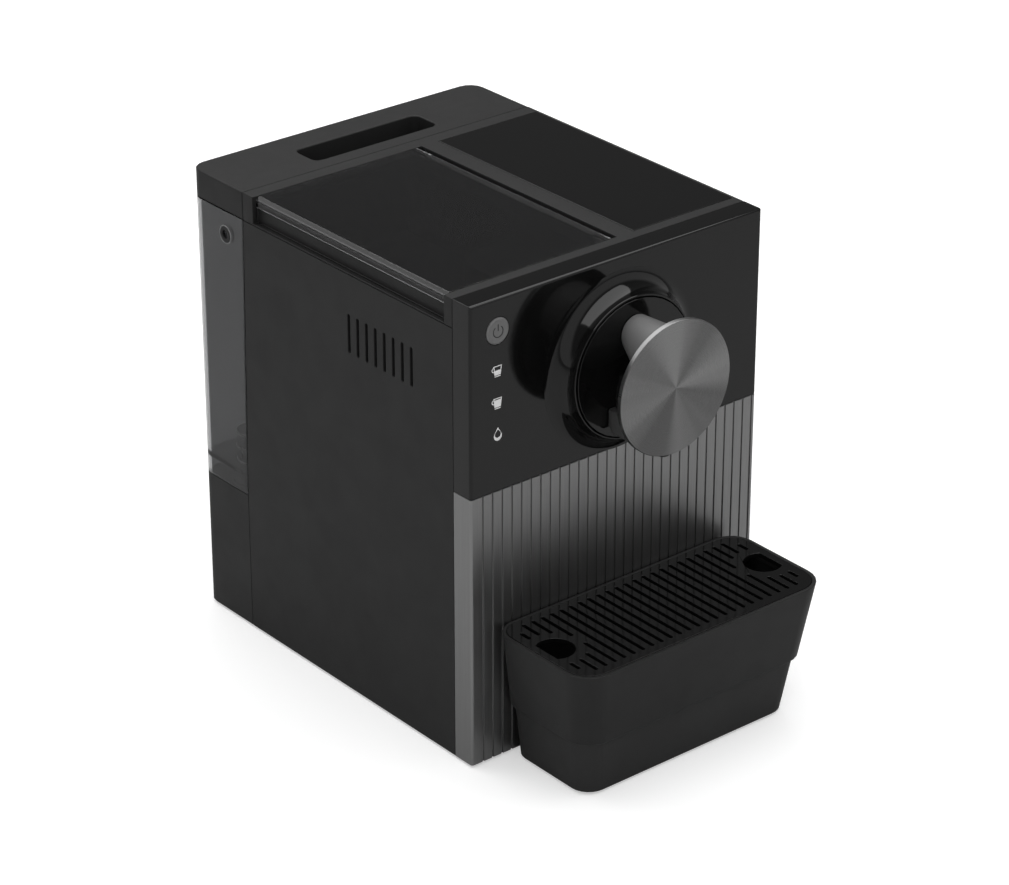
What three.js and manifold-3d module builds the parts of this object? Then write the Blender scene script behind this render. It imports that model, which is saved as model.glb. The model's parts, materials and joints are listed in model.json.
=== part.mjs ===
import * as THREE from 'three';
import { mergeVertices } from 'three/addons/utils/BufferGeometryUtils.js';
import Module from 'manifold-3d';

// Pod coffee machine with a twist-in pod holder, a lift-out water tank behind and a pull-out
// drip tray in front. Millimetres, +Z up, the front faces -Y, the origin is under the middle.

// ---------------------------------------------------------------- driving sizes

const WIDTH = 185;
const BODY_DEPTH = 226; // front panel to the back of the tank
const TRAY_REACH = 70; // drip tray in front of the front panel
const HEIGHT = 250;
const FOOT_LIFT = 1.5; // air under the housing
const WALL = 2.5; // moulded covers
const FIT = 0.3; // gap between neighbouring pieces
const EDGE = 1.5; // rounding of the front edges

const UPPER_COVER = 101; // height of the glossy cover above the ribbed steel one
const WRAP = 13; // how far both front covers wrap round the sides
const GROOVE_INSET = 7.4;
const GROOVE_PITCH = 6.03;
const GROOVE_WIDTH = 1;
const GROOVE_DEPTH = 0.8;

const BELT = 15; // height of the top frame and of the tank lid
const TOP_SKIN = 5; // top bars of the frame
const FRONT_BAR = 6.2;
const REAR_BAR = 8.3;
const MIDDLE_BAR = 10.7; // bar between lid and right panel
const RIGHT_PANEL = 65.6; // width of the pocket of the right panel
const PANEL_RIM = 1.5; // strip of frame outside the right panel
const PANEL_SKIN = 2;
const LID_INSET = 1.9; // from the left side of the body to the edge of the lid
const LID_SKIN = 4;
const LID_GAP = 0.4;
const LID_BEVEL = 2; // along its left edge
const LID_EDGE = 6.5; // height of that edge, which is turned down over the finger recess
const HINGE_GAP = 0.5; // between the round lid edge and the middle bar
const PIN_R = 1.25;
const PIN_GAP = 0.1;
const PIN_LENGTH = 14;
const BARREL_R = 3;
const BARREL_LENGTH = 10;
const RECESS_DEPTH = 3.5; // finger recess under the left edge of the lid
const RECESS_FLOOR = 0.7; // above the side panel
const CHANNEL_SKIN = 2;
const LEDGE = 3; // carries the capsule bin
const LEDGE_SKIN = 2;
const HINGE_SHELF = 11.2;

const BIN_SKIN = 2;
const BIN_DEEP_GAP = 4; // between the deep part, at the left, and the brew chamber
const BIN_DEEP_FRONT = 90; // depths below the top of the machine
const BIN_DEEP_REAR = 125;
const BIN_STEP = 44; // floor behind the hump
const BIN_HUMP = 80; // the hump over the brew chamber ends this far behind the front panel
const BIN_HUMP_CORNER = 16;

const LIP = 2; // inner lip of the side panels behind the front covers
const LIP_BACK = 8;
const VENT_COUNT = 8;
const VENT_PITCH = 7;
const VENT_WIDTH = 2;
const VENT_HEIGHT = 20.8;
const VENT_DROP = 36.3; // below the top of the machine
const VENT_BACK = 69.2; // middle of the row behind the front panel

const TANK_DEPTH = 46;
const TANK_DRAFT = 4; // the seam in front of the tank leans back by this towards its foot
const CORNER = 9; // rear corners of housing, tank and tank lid
const DECK_Z = 78.5; // top of the block that the tank stands on
const TANK_SKIRT = 9; // hollow foot of the tank below its floor
const TANK_WALL = 2.5;
const EYE_IN = 30.3; // round overflow eyes in the tank sides, ahead of its back
const EYE_DROP = 28; // below the top of the machine
const EYE_R = 2.5;
const EYE_RIM = 2.4;
const LID_POCKET_LENGTH = 79;
const LID_POCKET_WIDTH = 18.7;
const LID_POCKET_IN = 36.7; // front edge of the grip pocket ahead of the back
const LID_POCKET_DEPTH = 12;
const LID_POCKET_CORNER = 4;
const LID_SPIGOT = 2; // rim of the lid inside the tank

const VALVE_SIDE = 14.5; // valve from the left side
const VALVE_IN = 29; // valve ahead of the back
const VALVE_SEAT_R = 4;
const VALVE_SLEEVE_R = 6.3;
const VALVE_HEAD_R = 6;
const VALVE_LIFT = 3; // how far the socket's pin lifts the plunger
const VALVE_STEM_R = 1.4;
const VALVE_CUP_R = 8;
const VALVE_CUP_HEIGHT = 18;
const WASHER = 1.1;
const SPRING_R = 3.6;
const SPRING_WIRE_R = 0.45;
const SPRING_TURNS = 4;

const BASE_SKIN = 3;
const BASE_RIB = 7; // rim standing on the base plate
const FOOT_R = 8;
const FOOT_SINK = 1.5;
const FOOT_INSET = 17;

const HEAD_DROP = 54.2; // axis of the brew head below the top of the machine
const COLLAR_R = 45.6; // foot of the collar
const COLLAR_REACH = 11.2;
const COLLAR_FLARE = 7.4; // hollow round from the foot up to the rim
const COLLAR_STEPS = 6; // sides of that round
const COLLAR_FOOT = 0.5; // the hollow round ends this far ahead of the panel
const COLLAR_RIM = 1.25; // outer round of the rim
const COLLAR_BORE = 36.2;
const COLLAR_SLEEVE = 39;
const COLLAR_SLEEVE_LENGTH = 8;
const HOLDER_GAP = 0.4; // running gap round the pod holder
const HOLDER_SKIN = 3;
const CUP_R = 28;
const CUP_WALL = 3.5;
const CUP_LENGTH = 34.6;
const LUG_WIDTH = 10;
const LUG_REACH = 5.4;
const LUG_LENGTH = 9;
const RING_LENGTH = 11.8;
const CHAMBER_R = 33;
const CHAMBER_FLANGE_R = 43;
const CHAMBER_FLANGE = 3;
const CHAMBER_STEP_R = 26;
const CHAMBER_BACK = 4;
const CHAMBER_WELL = 14; // space behind the needle plate
const SEAL_THICK = 4.2;
const SEAL_BORE = 21;
const NEEDLE_PLATE = 2.9;
const NEEDLE_COUNT = 3;
const NEEDLE_CIRCLE = 9;
const NEEDLE_LENGTH = 10;
const NIPPLE_R = 3.2;
const NIPPLE_LENGTH = 8;
const WATER_BORE = 1.5;

const DISC_R = 34.8;
const DISC_SKIN = 3;
const DISC_BEVEL = 0.6;
const DISC_REACH = 41.5; // front of the disc in front of the panel
const GRIP_R = 31;
const GRIP_DEPTH = 6;
const GRIP_RIBS = 36;
const GRIP_RIB = 1.2;
const GRIP_OPEN = 65; // degrees each side of straight up that the grip leaves to the post
const POST_REAR_R = 9.2;
const POST_REAR_UP = 19; // above the head's axis
const POST_FRONT_R = 19;
const SPOUT_WIDE = 17;
const SPOUT_NARROW = 11;
const SPOUT_TOP = 17; // below the head's axis, as the next two
const SPOUT_REAR_LOW = 29;
const SPOUT_FRONT_LOW = 34;
const NOZZLE_R = 4;
const NOZZLE_BORE = 2.6;
const NOZZLE_DOWN = 38.3;
const NOZZLE_BACK = 8.5; // behind the front of the disc
const OUTLET_DOWN = 20.5;

const BUTTON_SIDE = 16.7; // from the left side
const BUTTON_DROP = 16.7; // below the top of the machine
const BUTTON_R = 6.8;
const BUTTON_PROUD = 0.5;
const BUTTON_TRAVEL = 1.5;
const BUTTON_RETAINER = 1.6;
const BOARD_SKIN = 1.6;
const BOARD_BEHIND = 8.5; // control board behind the inside of the front cover
const POST_R = 2.5;

const TRAY_HEIGHT = 75;
const TRAY_IN = 12.2; // each side of the tray inside the body's
const TRAY_FRONT_CORNER = 15;
const TRAY_REAR_CORNER = 13;
const TRAY_TAPER = 0.142; // each side per unit of height
const TRAY_SPLIT = 33;
const TRAY_STEP = 2.5; // support inside the tray's outline
const TRAY_WALL = 2;
const TRAY_FLOOR = 2.5;
const RIM_WIDTH = 2.2;
const GRILLE_SKIN = 2.5;
const GRILLE_LEDGE = 2.5;
const SLOT_PITCH = 5.98;
const SLOT_WIDTH = 2.1;
const SLOT_COLUMNS = 12; // each side of the middle one
const SLOT_REAR = 6.4; // behind this much of solid plate next to the panel
const SLOT_FRONT = 7.5;
const FINGER_X = 68.4;
const FINGER_R = 10;
const FINGER_FLAT = 5.6; // from the centre of the hole to its straight outer edge
const FINGER_IN = 34.5; // from the front panel to the centre of the hole
const FINGER_LAND = 15.2; // solid ring that interrupts the slots
const SUPPORT_SKIN = 2.5;
const TONGUE_HALF = 40;
const TONGUE_LENGTH = 18;
const TONGUE_SKIN = 3;
const PAD_R = 7;
const PAD_X = 48;
const SCREW_X = 30;
const SCREW_R = 1.6;
const SCREW_HEAD_R = 3.2;

const AIR_SLOTS = 7; // in the base, under the pump
const AIR_SLOT = 4;
const AIR_SLOT_PITCH = 9;
const AIR_SLOT_IN = [86, 60]; // ends ahead of the back
const POWER_BOARD_SIDE = 10.5; // from the right side
const POWER_BOARD_BACK = 38; // behind the front panel
const POWER_BOARD_LENGTH = 100;
const POWER_BOARD_Z = 9;
const POWER_BOARD_HEIGHT = 101;

const GLAND_R = 5;
const GLAND_FLANGE_R = 7;
const GLAND_BORE = 3.4;
const GLAND_LENGTH = 9;
const GLAND_FLANGE = 1.2;
const GLAND_SIDE = 22.5; // from the right side
const GLAND_Z = 22;

const CHASSIS_SKIN = 2;
const CHASSIS_WIDTH = 104.5;
const CHASSIS_SIDE = 24.5; // from the right side
const CHASSIS_LENGTH = 98;
const SHELF_DROP = 49.8; // below the head's axis
const BLOCK_WIDTH = 65; // thermoblock
const BLOCK_SIDE = 8; // from the right wall of the chassis
const BLOCK_LENGTH = 70;
const BLOCK_BACK = 22; // behind the yoke of the chassis
const BLOCK_HEIGHT = 30;
const PUMP_SIDE = 48; // pump axis from the right wall of the chassis
const PUMP_Z = 85;
const PUMP_R = 17;
const RUBBER_R = 22;
const RUBBER_WIDTH = 6;
const RUBBER_IN = 98; // rear one of two rubber rings round the pump, ahead of the back
const RUBBER_SPAN = 54; // to the front one
const METER_SIDE = 32.5; // from the left side
const METER_IN = 66; // ahead of the back
const METER_R = 14;
const METER_HEIGHT = 18;
const HOSE_R = 3;
const HOSE_SIDES = 6;

// ---------------------------------------------------------------- places worked out from them

const half = WIDTH / 2;
const front = TRAY_REACH - (BODY_DEPTH + TRAY_REACH) / 2;
const rear = front + BODY_DEPTH;
const wrapEnd = front + WRAP;
const beltZ = HEIGHT - BELT;
const splitZ = HEIGHT - UPPER_COVER;
const seamTop = rear - TANK_DEPTH;
const seamLow = seamTop + TANK_DRAFT;
const insideX = half - WALL - FIT; // pieces between the side walls end here
const insideFront = front + WALL + FIT;
const baseTop = FOOT_LIFT + BASE_SKIN;

const frameFront = wrapEnd + FIT;
const frameRear = seamTop - FIT;
const openFront = frameFront + FRONT_BAR;
const openRear = frameRear - REAR_BAR;
const lidZ = HEIGHT - LID_SKIN;
const lidEdgeZ = HEIGHT - LID_EDGE;
const middleBarX = half - PANEL_RIM - RIGHT_PANEL - MIDDLE_BAR; // left edge of the middle bar
const hingeX = middleBarX - HINGE_GAP - LID_SKIN;
const channelX = -half + RECESS_DEPTH;
const wellX = channelX + CHANNEL_SKIN;
const ledgeTop = lidZ - LID_SKIN - 2 * FIT;
const shelfX = middleBarX - HINGE_SHELF;

const tankFoot = DECK_Z + FIT;
const tankFloor = tankFoot + TANK_SKIRT + TANK_WALL;
const tankTop = beltZ - FIT;
const eyeY = rear - EYE_IN;
const eyeZ = HEIGHT - EYE_DROP;
const valveX = VALVE_SIDE - half;
const valveY = rear - VALVE_IN;

const headZ = HEIGHT - HEAD_DROP;
const buttonX = BUTTON_SIDE - half;
const buttonZ = HEIGHT - BUTTON_DROP;
const trayHalf = half - TRAY_IN;
const glandX = half - GLAND_SIDE;

const holderBack = -COLLAR_REACH - HOLDER_GAP + HOLDER_SKIN; // rear of the holder's front plate
const ringRear = holderBack + FIT + RING_LENGTH;
const chamberMouth = ringRear + FIT;
const cupEnd = holderBack + CUP_LENGTH;
const sealEnd = cupEnd + FIT + SEAL_THICK;
const plateEnd = sealEnd + FIT + NEEDLE_PLATE;
const chamberStep = plateEnd + FIT;
const chamberEnd = chamberStep + CHAMBER_WELL + CHAMBER_BACK;
const knobRear = holderBack - HOLDER_SKIN - FIT;
const discBack = -DISC_REACH + DISC_SKIN;

const boardFront = front + WALL + BOARD_BEHIND;
const yokeFront = front + chamberEnd + FIT;
const yokeRear = yokeFront + CHASSIS_SKIN;
const chassisFoot = baseTop + FIT;
const chassisRear = yokeFront + CHASSIS_LENGTH;
const powerBoardX = half - POWER_BOARD_SIDE;
const powerBoardY = [front + POWER_BOARD_BACK, front + POWER_BOARD_BACK + POWER_BOARD_LENGTH];
const chassisRight = half - CHASSIS_SIDE;
const chassisLeft = chassisRight - CHASSIS_WIDTH;
const shelfZ = headZ - SHELF_DROP;
const blockFront = yokeRear + BLOCK_BACK;
const blockZ = shelfZ + CHASSIS_SKIN + FIT;
const blockX = [chassisRight - BLOCK_SIDE - BLOCK_WIDTH, chassisRight - BLOCK_SIDE];
const pumpX = chassisRight - PUMP_SIDE;
const rubberY = [rear - RUBBER_IN - RUBBER_SPAN, rear - RUBBER_IN];
const meterX = METER_SIDE - half;
const meterY = rear - METER_IN;

// ---------------------------------------------------------------- geometry helpers

const wasm = await Module();
wasm.setup();
const AXIS_X = new THREE.Vector3(1, 0, 0);
const AXIS_Y = new THREE.Vector3(0, 1, 0);
const AXIS_Z = new THREE.Vector3(0, 0, 1);
const QUARTER = Math.PI / 2;

// A closed geometry as a solid, with its faces turned outwards.
function solid(geometry) {
  const bare = geometry.clone();
  bare.deleteAttribute('normal');
  bare.deleteAttribute('uv');
  const merged = mergeVertices(bare, 1e-4);
  const points = merged.attributes.position;
  const index = merged.index.array;
  const faces = [];
  const corner = [0, 1, 2].map(() => new THREE.Vector3());
  let volume = 0;
  for (let i = 0; i < index.length; i += 3) {
    const face = [index[i], index[i + 1], index[i + 2]];
    if (new Set(face).size < 3) continue;
    faces.push(face);
    face.forEach((at, k) => corner[k].fromBufferAttribute(points, at));
    volume += corner[0].dot(corner[1].cross(corner[2]));
  }
  if (volume < 0) faces.forEach((face) => face.reverse());
  const triVerts = new Uint32Array(faces.flat());
  return new wasm.Manifold(new wasm.Mesh({ numProp: 3, vertProperties: points.array, triVerts }));
}

const join = (first, ...others) => others.reduce((sum, next) => sum.add(next), first);
const cut = (first, ...tools) => tools.reduce((rest, tool) => rest.subtract(tool), first);

function box(x0, x1, y0, y1, z0, z1) {
  const geometry = new THREE.BoxGeometry(Math.abs(x1 - x0), y1 - y0, z1 - z0);
  return solid(geometry.translate((x0 + x1) / 2, (y0 + y1) / 2, (z0 + z1) / 2));
}

function outline(points) {
  return new THREE.Shape(points.map(([u, v]) => new THREE.Vector2(u, v)));
}

// A rectangle with its own radius at each corner, anticlockwise from (u0, v0).
function roundedRect(u0, v0, u1, v1, [a, b, c, d]) {
  const shape = new THREE.Shape();
  shape.moveTo(u0 + a, v0);
  shape.lineTo(u1 - b, v0);
  if (b > 0) shape.absarc(u1 - b, v0 + b, b, -QUARTER, 0);
  shape.lineTo(u1, v1 - c);
  if (c > 0) shape.absarc(u1 - c, v1 - c, c, 0, QUARTER);
  shape.lineTo(u0 + d, v1);
  if (d > 0) shape.absarc(u0 + d, v1 - d, d, QUARTER, Math.PI);
  shape.lineTo(u0, v0 + a);
  if (a > 0) shape.absarc(u0 + a, v0 + a, a, Math.PI, 3 * QUARTER);
  return shape;
}

// A straight slot along v with eight-sided ends, of half width r round u.
function slotShape(u, v0, v1, r) {
  const side = r * Math.tan(QUARTER / 4);
  const end = r - side;
  return outline([
    [u - side, v0], [u + side, v0], [u + r, v0 + end], [u + r, v1 - end], [u + side, v1],
    [u - side, v1], [u - r, v1 - end], [u - r, v0 + end],
  ]);
}

// Prisms: a shape in (x, y), (y, z) or (x, z), drawn out along the third axis.
// ExtrudeGeometry gives each arc twice as many sides as its curveSegments.
function prism(shape, from, to, basis, along, segments = 2) {
  const options = { depth: to - from, bevelEnabled: false, curveSegments: segments };
  const geometry = new THREE.ExtrudeGeometry(shape, options);
  geometry.applyMatrix4(new THREE.Matrix4().makeBasis(...basis));
  return geometry.translate(...along.clone().multiplyScalar(from).toArray());
}
const upright = (shape, z0, z1, segments) =>
  solid(prism(shape, z0, z1, [AXIS_X, AXIS_Y, AXIS_Z], AXIS_Z, segments));
const sideways = (shape, x0, x1, segments) =>
  solid(prism(shape, x0, x1, [AXIS_Y, AXIS_Z, AXIS_X], AXIS_X, segments));
const lengthwise = (shape, y0, y1, segments) =>
  solid(prism(shape, -y1, -y0, [AXIS_X, AXIS_Z, AXIS_Y.clone().negate()],
    AXIS_Y.clone().negate(), segments));

// Solids of revolution from a closed or axis-to-axis profile of [radius, height].
function revolved(profile, sides) {
  return new THREE.LatheGeometry(profile.map(([r, h]) => new THREE.Vector2(r, h)), sides);
}
const turnedY = (profile, sides = 20, x = 0, z = 0) =>
  solid(revolved(profile, sides).translate(x, 0, z));
const turnedZ = (profile, sides = 24, x = 0, y = 0) =>
  solid(revolved(profile, sides).rotateX(QUARTER).translate(x, y, 0));
const rodY = (r, y0, y1, x = 0, z = 0, sides = 12) =>
  turnedY([[0, y0], [r, y0], [r, y1], [0, y1]], sides, x, z);
const rodZ = (r, z0, z1, x = 0, y = 0, sides = 12) =>
  turnedZ([[0, z0], [r, z0], [r, z1], [0, z1]], sides, x, y);
const rodX = (r, x0, x1, y = 0, z = 0, sides = 12) =>
  solid(revolved([[0, x0], [r, x0], [r, x1], [0, x1]], sides).rotateZ(-QUARTER).translate(0, y, z));

function ringY(inner, outer, y0, y1, sides = 24) {
  return turnedY([[inner, y0], [outer, y0], [outer, y1], [inner, y1], [inner, y0]], sides);
}
function ringZ(inner, outer, z0, z1, sides = 12) {
  return turnedZ([[inner, z0], [outer, z0], [outer, z1], [inner, z1], [inner, z0]], sides);
}

// A round section along a smooth curve through the points.
function tube(points, radius, steps, sides = HOSE_SIDES) {
  const path = new THREE.CatmullRomCurve3(points.map((p) => new THREE.Vector3(...p)));
  return tubeOn(path, radius, steps, sides);
}
function tubeOn(path, radius, steps, sides) {
  const section = new THREE.Shape();
  section.absarc(0, 0, radius, 0, 2 * Math.PI);
  const options = { steps, extrudePath: path, curveSegments: sides / 2, bevelEnabled: false };
  return solid(new THREE.ExtrudeGeometry(section, options));
}

const machine = new THREE.Group();

// One named piece with a finish of its own, in a group of the machine.
function piece(group, name, shape, [color, roughness, metalness, opacity = 1]) {
  const { vertProperties, triVerts } = shape.getMesh();
  const geometry = new THREE.BufferGeometry();
  geometry.setAttribute('position', new THREE.BufferAttribute(vertProperties, 3));
  geometry.setIndex(new THREE.BufferAttribute(triVerts, 1));
  const look = { color, roughness, metalness, opacity, transparent: opacity < 1 };
  const mesh = new THREE.Mesh(geometry.toNonIndexed(), new THREE.MeshStandardMaterial(look));
  mesh.geometry.computeVertexNormals();
  mesh.name = name;
  group.add(mesh);
  return mesh;
}

const GLOSS_BLACK = [0x17181a, 0.12, 0];
const SATIN_BLACK = [0x2f3031, 0.45, 0];
const MATT_BLACK = [0x1b1b1c, 0.6, 0];
const STEEL = [0x8d8e90, 0.32, 1];
const SPRING_STEEL = [0xb8babd, 0.25, 1];
const SATIN_GREY = [0x9b9c9d, 0.35, 0.6];
const DARK_GREY = [0x3c3d3f, 0.5, 0];
const BUTTON_GREY = [0x535354, 0.4, 0.3];
const SMOKED = [0x3a3c3e, 0.08, 0, 0.45];
const TINTED = [0x141516, 0.06, 0, 0.6];
const RUBBER = [0x202020, 0.85, 0];
const WHITE_PLASTIC = [0xd9d8d3, 0.5, 0];
const BOARD_GREEN = [0x1f5a37, 0.55, 0];
const CAST_ALUMINIUM = [0xa9abad, 0.45, 1];
const BRASS = [0xb58a3c, 0.3, 1];
const SILICONE = [0xd8d4c8, 0.5, 0];

// ---------------------------------------------------------------- front covers

function coverPlan() {
  return roundedRect(-half, front, half, wrapEnd, [EDGE, EDGE, 0, 0]);
}

function frontCoverUpper() {
  const z0 = splitZ + FIT / 2;
  const side = roundedRect(front, z0, wrapEnd, HEIGHT, [0, 0, 0, EDGE]);
  const block = upright(coverPlan(), z0, HEIGHT).intersect(sideways(side, -half, half));
  const inner = half - WALL;
  const hollow = box(-inner, inner, front + WALL, wrapEnd + 1, z0 - 1, HEIGHT - WALL);
  const headHole = rodY(COLLAR_SLEEVE + FIT, front - 1, front + WALL + 1, 0, headZ, 44);
  const buttonHole = rodY(BUTTON_R + FIT, front - 1, front + WALL + 1, buttonX, buttonZ, 24);
  const posts = [buttonZ - 14, buttonZ - 46].map((z) =>
    rodY(POST_R, front + WALL / 2, boardFront - FIT, buttonX, z, 12));
  return join(cut(block, hollow, headHole, buttonHole), ...posts);
}

function frontCoverLower() {
  const z1 = splitZ - FIT / 2;
  const inner = half - WALL;
  const block = upright(coverPlan(), FOOT_LIFT, z1);
  const hollow = box(-inner, inner, front + WALL, wrapEnd + 1, FOOT_LIFT - 1, z1 + 1);
  const grooves = [];
  for (let x = -half + GROOVE_INSET; x < half - EDGE; x += GROOVE_PITCH) {
    const side = GROOVE_WIDTH / 2;
    grooves.push(box(x - side, x + side, front - 1, front + GROOVE_DEPTH, FOOT_LIFT - 1, z1 + 1));
  }
  const slotX = TONGUE_HALF + FIT;
  const slotTop = baseTop + 2 * FIT + TONGUE_SKIN;
  const slot = box(-slotX, slotX, front - 1, front + WALL + 1, baseTop, slotTop);
  return cut(block, hollow, ...grooves, slot);
}

// ---------------------------------------------------------------- side panels

// The lip runs behind the front covers, so its plan is stepped. side is -1 left, 1 right.
function sidePanel(side) {
  const lipIn = insideX - LIP;
  const y0 = wrapEnd + FIT;
  const plan = outline([
    [side * half, y0], [side * half, seamLow], [side * (half - WALL), seamLow],
    [side * (half - WALL), y0 + LIP_BACK], [side * lipIn, y0 + LIP_BACK],
    [side * lipIn, insideFront], [side * insideX, insideFront], [side * insideX, y0],
  ]);
  const profile = outline([
    [front, FOOT_LIFT], [seamLow - FIT, FOOT_LIFT], [seamLow - FIT, DECK_Z],
    [seamTop - FIT, beltZ - FIT], [front, beltZ - FIT],
  ]);
  const [x0, x1] = [side * (lipIn - 1), side * (half - WALL)].sort((a, b) => a - b);
  const baseRoom = box(x0, x1, front, rear, 0, baseTop + BASE_RIB + FIT);
  const channelRoom = box(x0, x1, front, rear, beltZ + RECESS_FLOOR - CHANNEL_SKIN - FIT, HEIGHT);
  const vents = [];
  const ventTop = HEIGHT - VENT_DROP;
  for (let i = 0; i < VENT_COUNT; i += 1) {
    const y = front + VENT_BACK + (i - (VENT_COUNT - 1) / 2) * VENT_PITCH;
    const slot = slotShape(y, ventTop - VENT_HEIGHT, ventTop, VENT_WIDTH / 2);
    vents.push(sideways(slot, -half - 1, half + 1));
  }
  const plate = upright(plan, FOOT_LIFT, beltZ).intersect(sideways(profile, -half, half));
  return cut(plate, baseRoom, channelRoom, ...vents);
}

// ---------------------------------------------------------------- base, feet, rear housing

function basePlan(inset) {
  const x = insideX - inset;
  const r = CORNER - WALL - FIT - inset;
  return roundedRect(-x, insideFront + inset, x, rear - WALL - FIT - inset, [0, 0, r, r]);
}

function footPlaces() {
  const x = half - FOOT_INSET;
  return [
    ['foot_front_left', -x, front + FOOT_INSET],
    ['foot_front_right', x, front + FOOT_INSET],
    ['foot_rear_left', -x, rear - FOOT_INSET],
    ['foot_rear_right', x, rear - FOOT_INSET],
  ];
}

function basePlate() {
  const rimTop = baseTop + BASE_RIB;
  const rim = cut(upright(basePlan(0), FOOT_LIFT, rimTop), upright(basePlan(2), baseTop, rimTop + 1));
  const slotX = TONGUE_HALF + FIT;
  const tongueRoom = box(-slotX, slotX, front, insideFront + 3, baseTop, rimTop + 1);
  const sockets = footPlaces().map(([, x, y]) =>
    rodZ(FOOT_R + FIT, FOOT_LIFT - 1, FOOT_LIFT + FOOT_SINK, x, y));
  const grille = [];
  const [airFront, airRear] = AIR_SLOT_IN.map((inset) => rear - inset);
  for (let i = 0; i < AIR_SLOTS; i += 1) {
    const x = (i - (AIR_SLOTS - 1) / 2) * AIR_SLOT_PITCH - AIR_SLOT / 2;
    grille.push(box(x, x + AIR_SLOT, airFront, airRear, 0, baseTop + 1));
  }
  const screwHoles = [-SCREW_X, SCREW_X].map((x) =>
    rodZ(SCREW_R + FIT, 0, baseTop + 1, x, insideFront + TONGUE_LENGTH - 6, 12));
  const guides = [powerBoardY[0] + 8, powerBoardY[1] - 8].map((y) => {
    const post = box(powerBoardX - 3, powerBoardX + BOARD_SKIN + 2.4, y - 3, y + 3, baseTop - 1, 30);
    const groove = box(powerBoardX - FIT, powerBoardX + BOARD_SKIN + FIT, y - 4, y + 4,
      POWER_BOARD_Z - FIT, 31);
    return cut(post, groove);
  });
  return join(cut(rim, tongueRoom, ...sockets, ...grille, ...screwHoles), ...guides);
}

// Rubber foot: the upper end sits in its socket in the base plate.
function foot() {
  const top = FOOT_LIFT + FOOT_SINK - FIT;
  return turnedZ([[0, 0], [FOOT_R - 1, 0], [FOOT_R, 1], [FOOT_R, top], [0, top]], 12);
}

function rearHousing() {
  const corners = [0, 0, CORNER, CORNER];
  const innerCorners = [0, 0, CORNER - WALL, CORNER - WALL];
  const block = upright(roundedRect(-half, seamLow, half, rear, corners), FOOT_LIFT, DECK_Z);
  const inner = half - WALL;
  const room = roundedRect(-inner, seamLow - 1, inner, rear - WALL, innerCorners);
  const hollow = upright(room, FOOT_LIFT - 1, DECK_Z - WALL);
  const lean = outline([
    [seamLow - FIT - WALL, DECK_Z - WALL], [seamLow - FIT, DECK_Z - WALL],
    [seamTop - FIT, beltZ - FIT], [seamTop - FIT - WALL, beltZ - FIT],
  ]);
  const bulkhead = sideways(lean, -insideX, insideX);
  const sill = box(-insideX, insideX, seamLow - FIT - WALL, seamLow + 1, DECK_Z - WALL, DECK_Z);
  const socketHole = rodZ(socketR + FIT, DECK_Z - WALL - 1, DECK_Z + 1, valveX, valveY);
  const glandHole = rodY(GLAND_R + FIT, rear - WALL - 1, rear + 1, glandX, GLAND_Z);
  const glandSeat = rodY(GLAND_FLANGE_R + FIT, rear - GLAND_FLANGE - FIT, rear + 1, glandX, GLAND_Z);
  return cut(join(cut(block, hollow), bulkhead, sill), socketHole, glandHole, glandSeat);
}

function cordGland() {
  return turnedY([
    [GLAND_BORE, rear - GLAND_LENGTH], [GLAND_R, rear - GLAND_LENGTH], [GLAND_R, rear - GLAND_FLANGE],
    [GLAND_FLANGE_R, rear - GLAND_FLANGE], [GLAND_FLANGE_R, rear], [GLAND_BORE, rear],
    [GLAND_BORE, rear - GLAND_LENGTH],
  ], 16, glandX, GLAND_Z);
}

// ---------------------------------------------------------------- top frame, lid and capsule bin

function topFrame() {
  const block = box(-half, half, frameFront, frameRear, beltZ, HEIGHT);
  const skirtX = half - WALL;
  const hollow = box(-skirtX, skirtX, frameFront - 1, frameRear - WALL, beltZ - 1, HEIGHT - TOP_SKIN);
  const recessZ = beltZ + RECESS_FLOOR;
  const opening = box(-half - 1, middleBarX, openFront, openRear, recessZ, HEIGHT + 1);
  const shell = cut(block, hollow, opening);
  const channelZ = recessZ - CHANNEL_SKIN;
  const skin = CHANNEL_SKIN;
  // Floor, ends and inner wall of the finger recess under the lid's left edge.
  const channel = cut(
    join(
      box(-insideX, wellX, openFront - skin, openRear + skin, channelZ, lidZ),
      box(-skirtX - FIT, -insideX + FIT, openFront - skin, openRear + skin, beltZ, recessZ),
    ),
    box(-half - 1, channelX, openFront, openRear, recessZ, HEIGHT),
    box(wellX - FIT, wellX + FIT, openFront, openRear, lidEdgeZ - FIT, HEIGHT),
  );
  // Well round the opening, with the ledge that carries the capsule bin.
  const ledgeLow = ledgeTop - LEDGE_SKIN;
  const well = cut(
    box(channelX, middleBarX + skin, openFront - skin, openRear + skin, ledgeLow, lidZ),
    box(wellX, middleBarX, openFront, openRear, ledgeTop, HEIGHT),
    box(wellX + LEDGE, shelfX, openFront + LEDGE, openRear - LEDGE, ledgeLow - 1, HEIGHT),
  );
  const lidSeat = box(channelX - 1, wellX, openFront, openRear, lidEdgeZ - FIT, HEIGHT);
  const bossLow = lidZ - PIN_R - WALL;
  const bosses = [[frameFront + 1, openFront], [openRear, frameRear - 1]].map(([y0, y1]) =>
    box(hingeX - 4, hingeX + 4, y0, y1, bossLow, lidZ));
  const pinEnds = [openFront - PIN_LENGTH / 3, openRear + PIN_LENGTH / 3];
  const pinHoles = [[pinEnds[0] - FIT, openFront + 1], [openRear - 1, pinEnds[1] + FIT]].map(
    ([y0, y1]) => rodY(PIN_R + PIN_GAP, y0, y1, hingeX, lidZ, 16));
  const pocketX = middleBarX + MIDDLE_BAR;
  const pocketZ = HEIGHT - PANEL_SKIN - FIT;
  const pocket = box(pocketX, half - PANEL_RIM, openFront, openRear, pocketZ, HEIGHT + 1);
  return cut(join(shell, channel, well, ...bosses), lidSeat, ...pinHoles, pocket);
}

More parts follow.
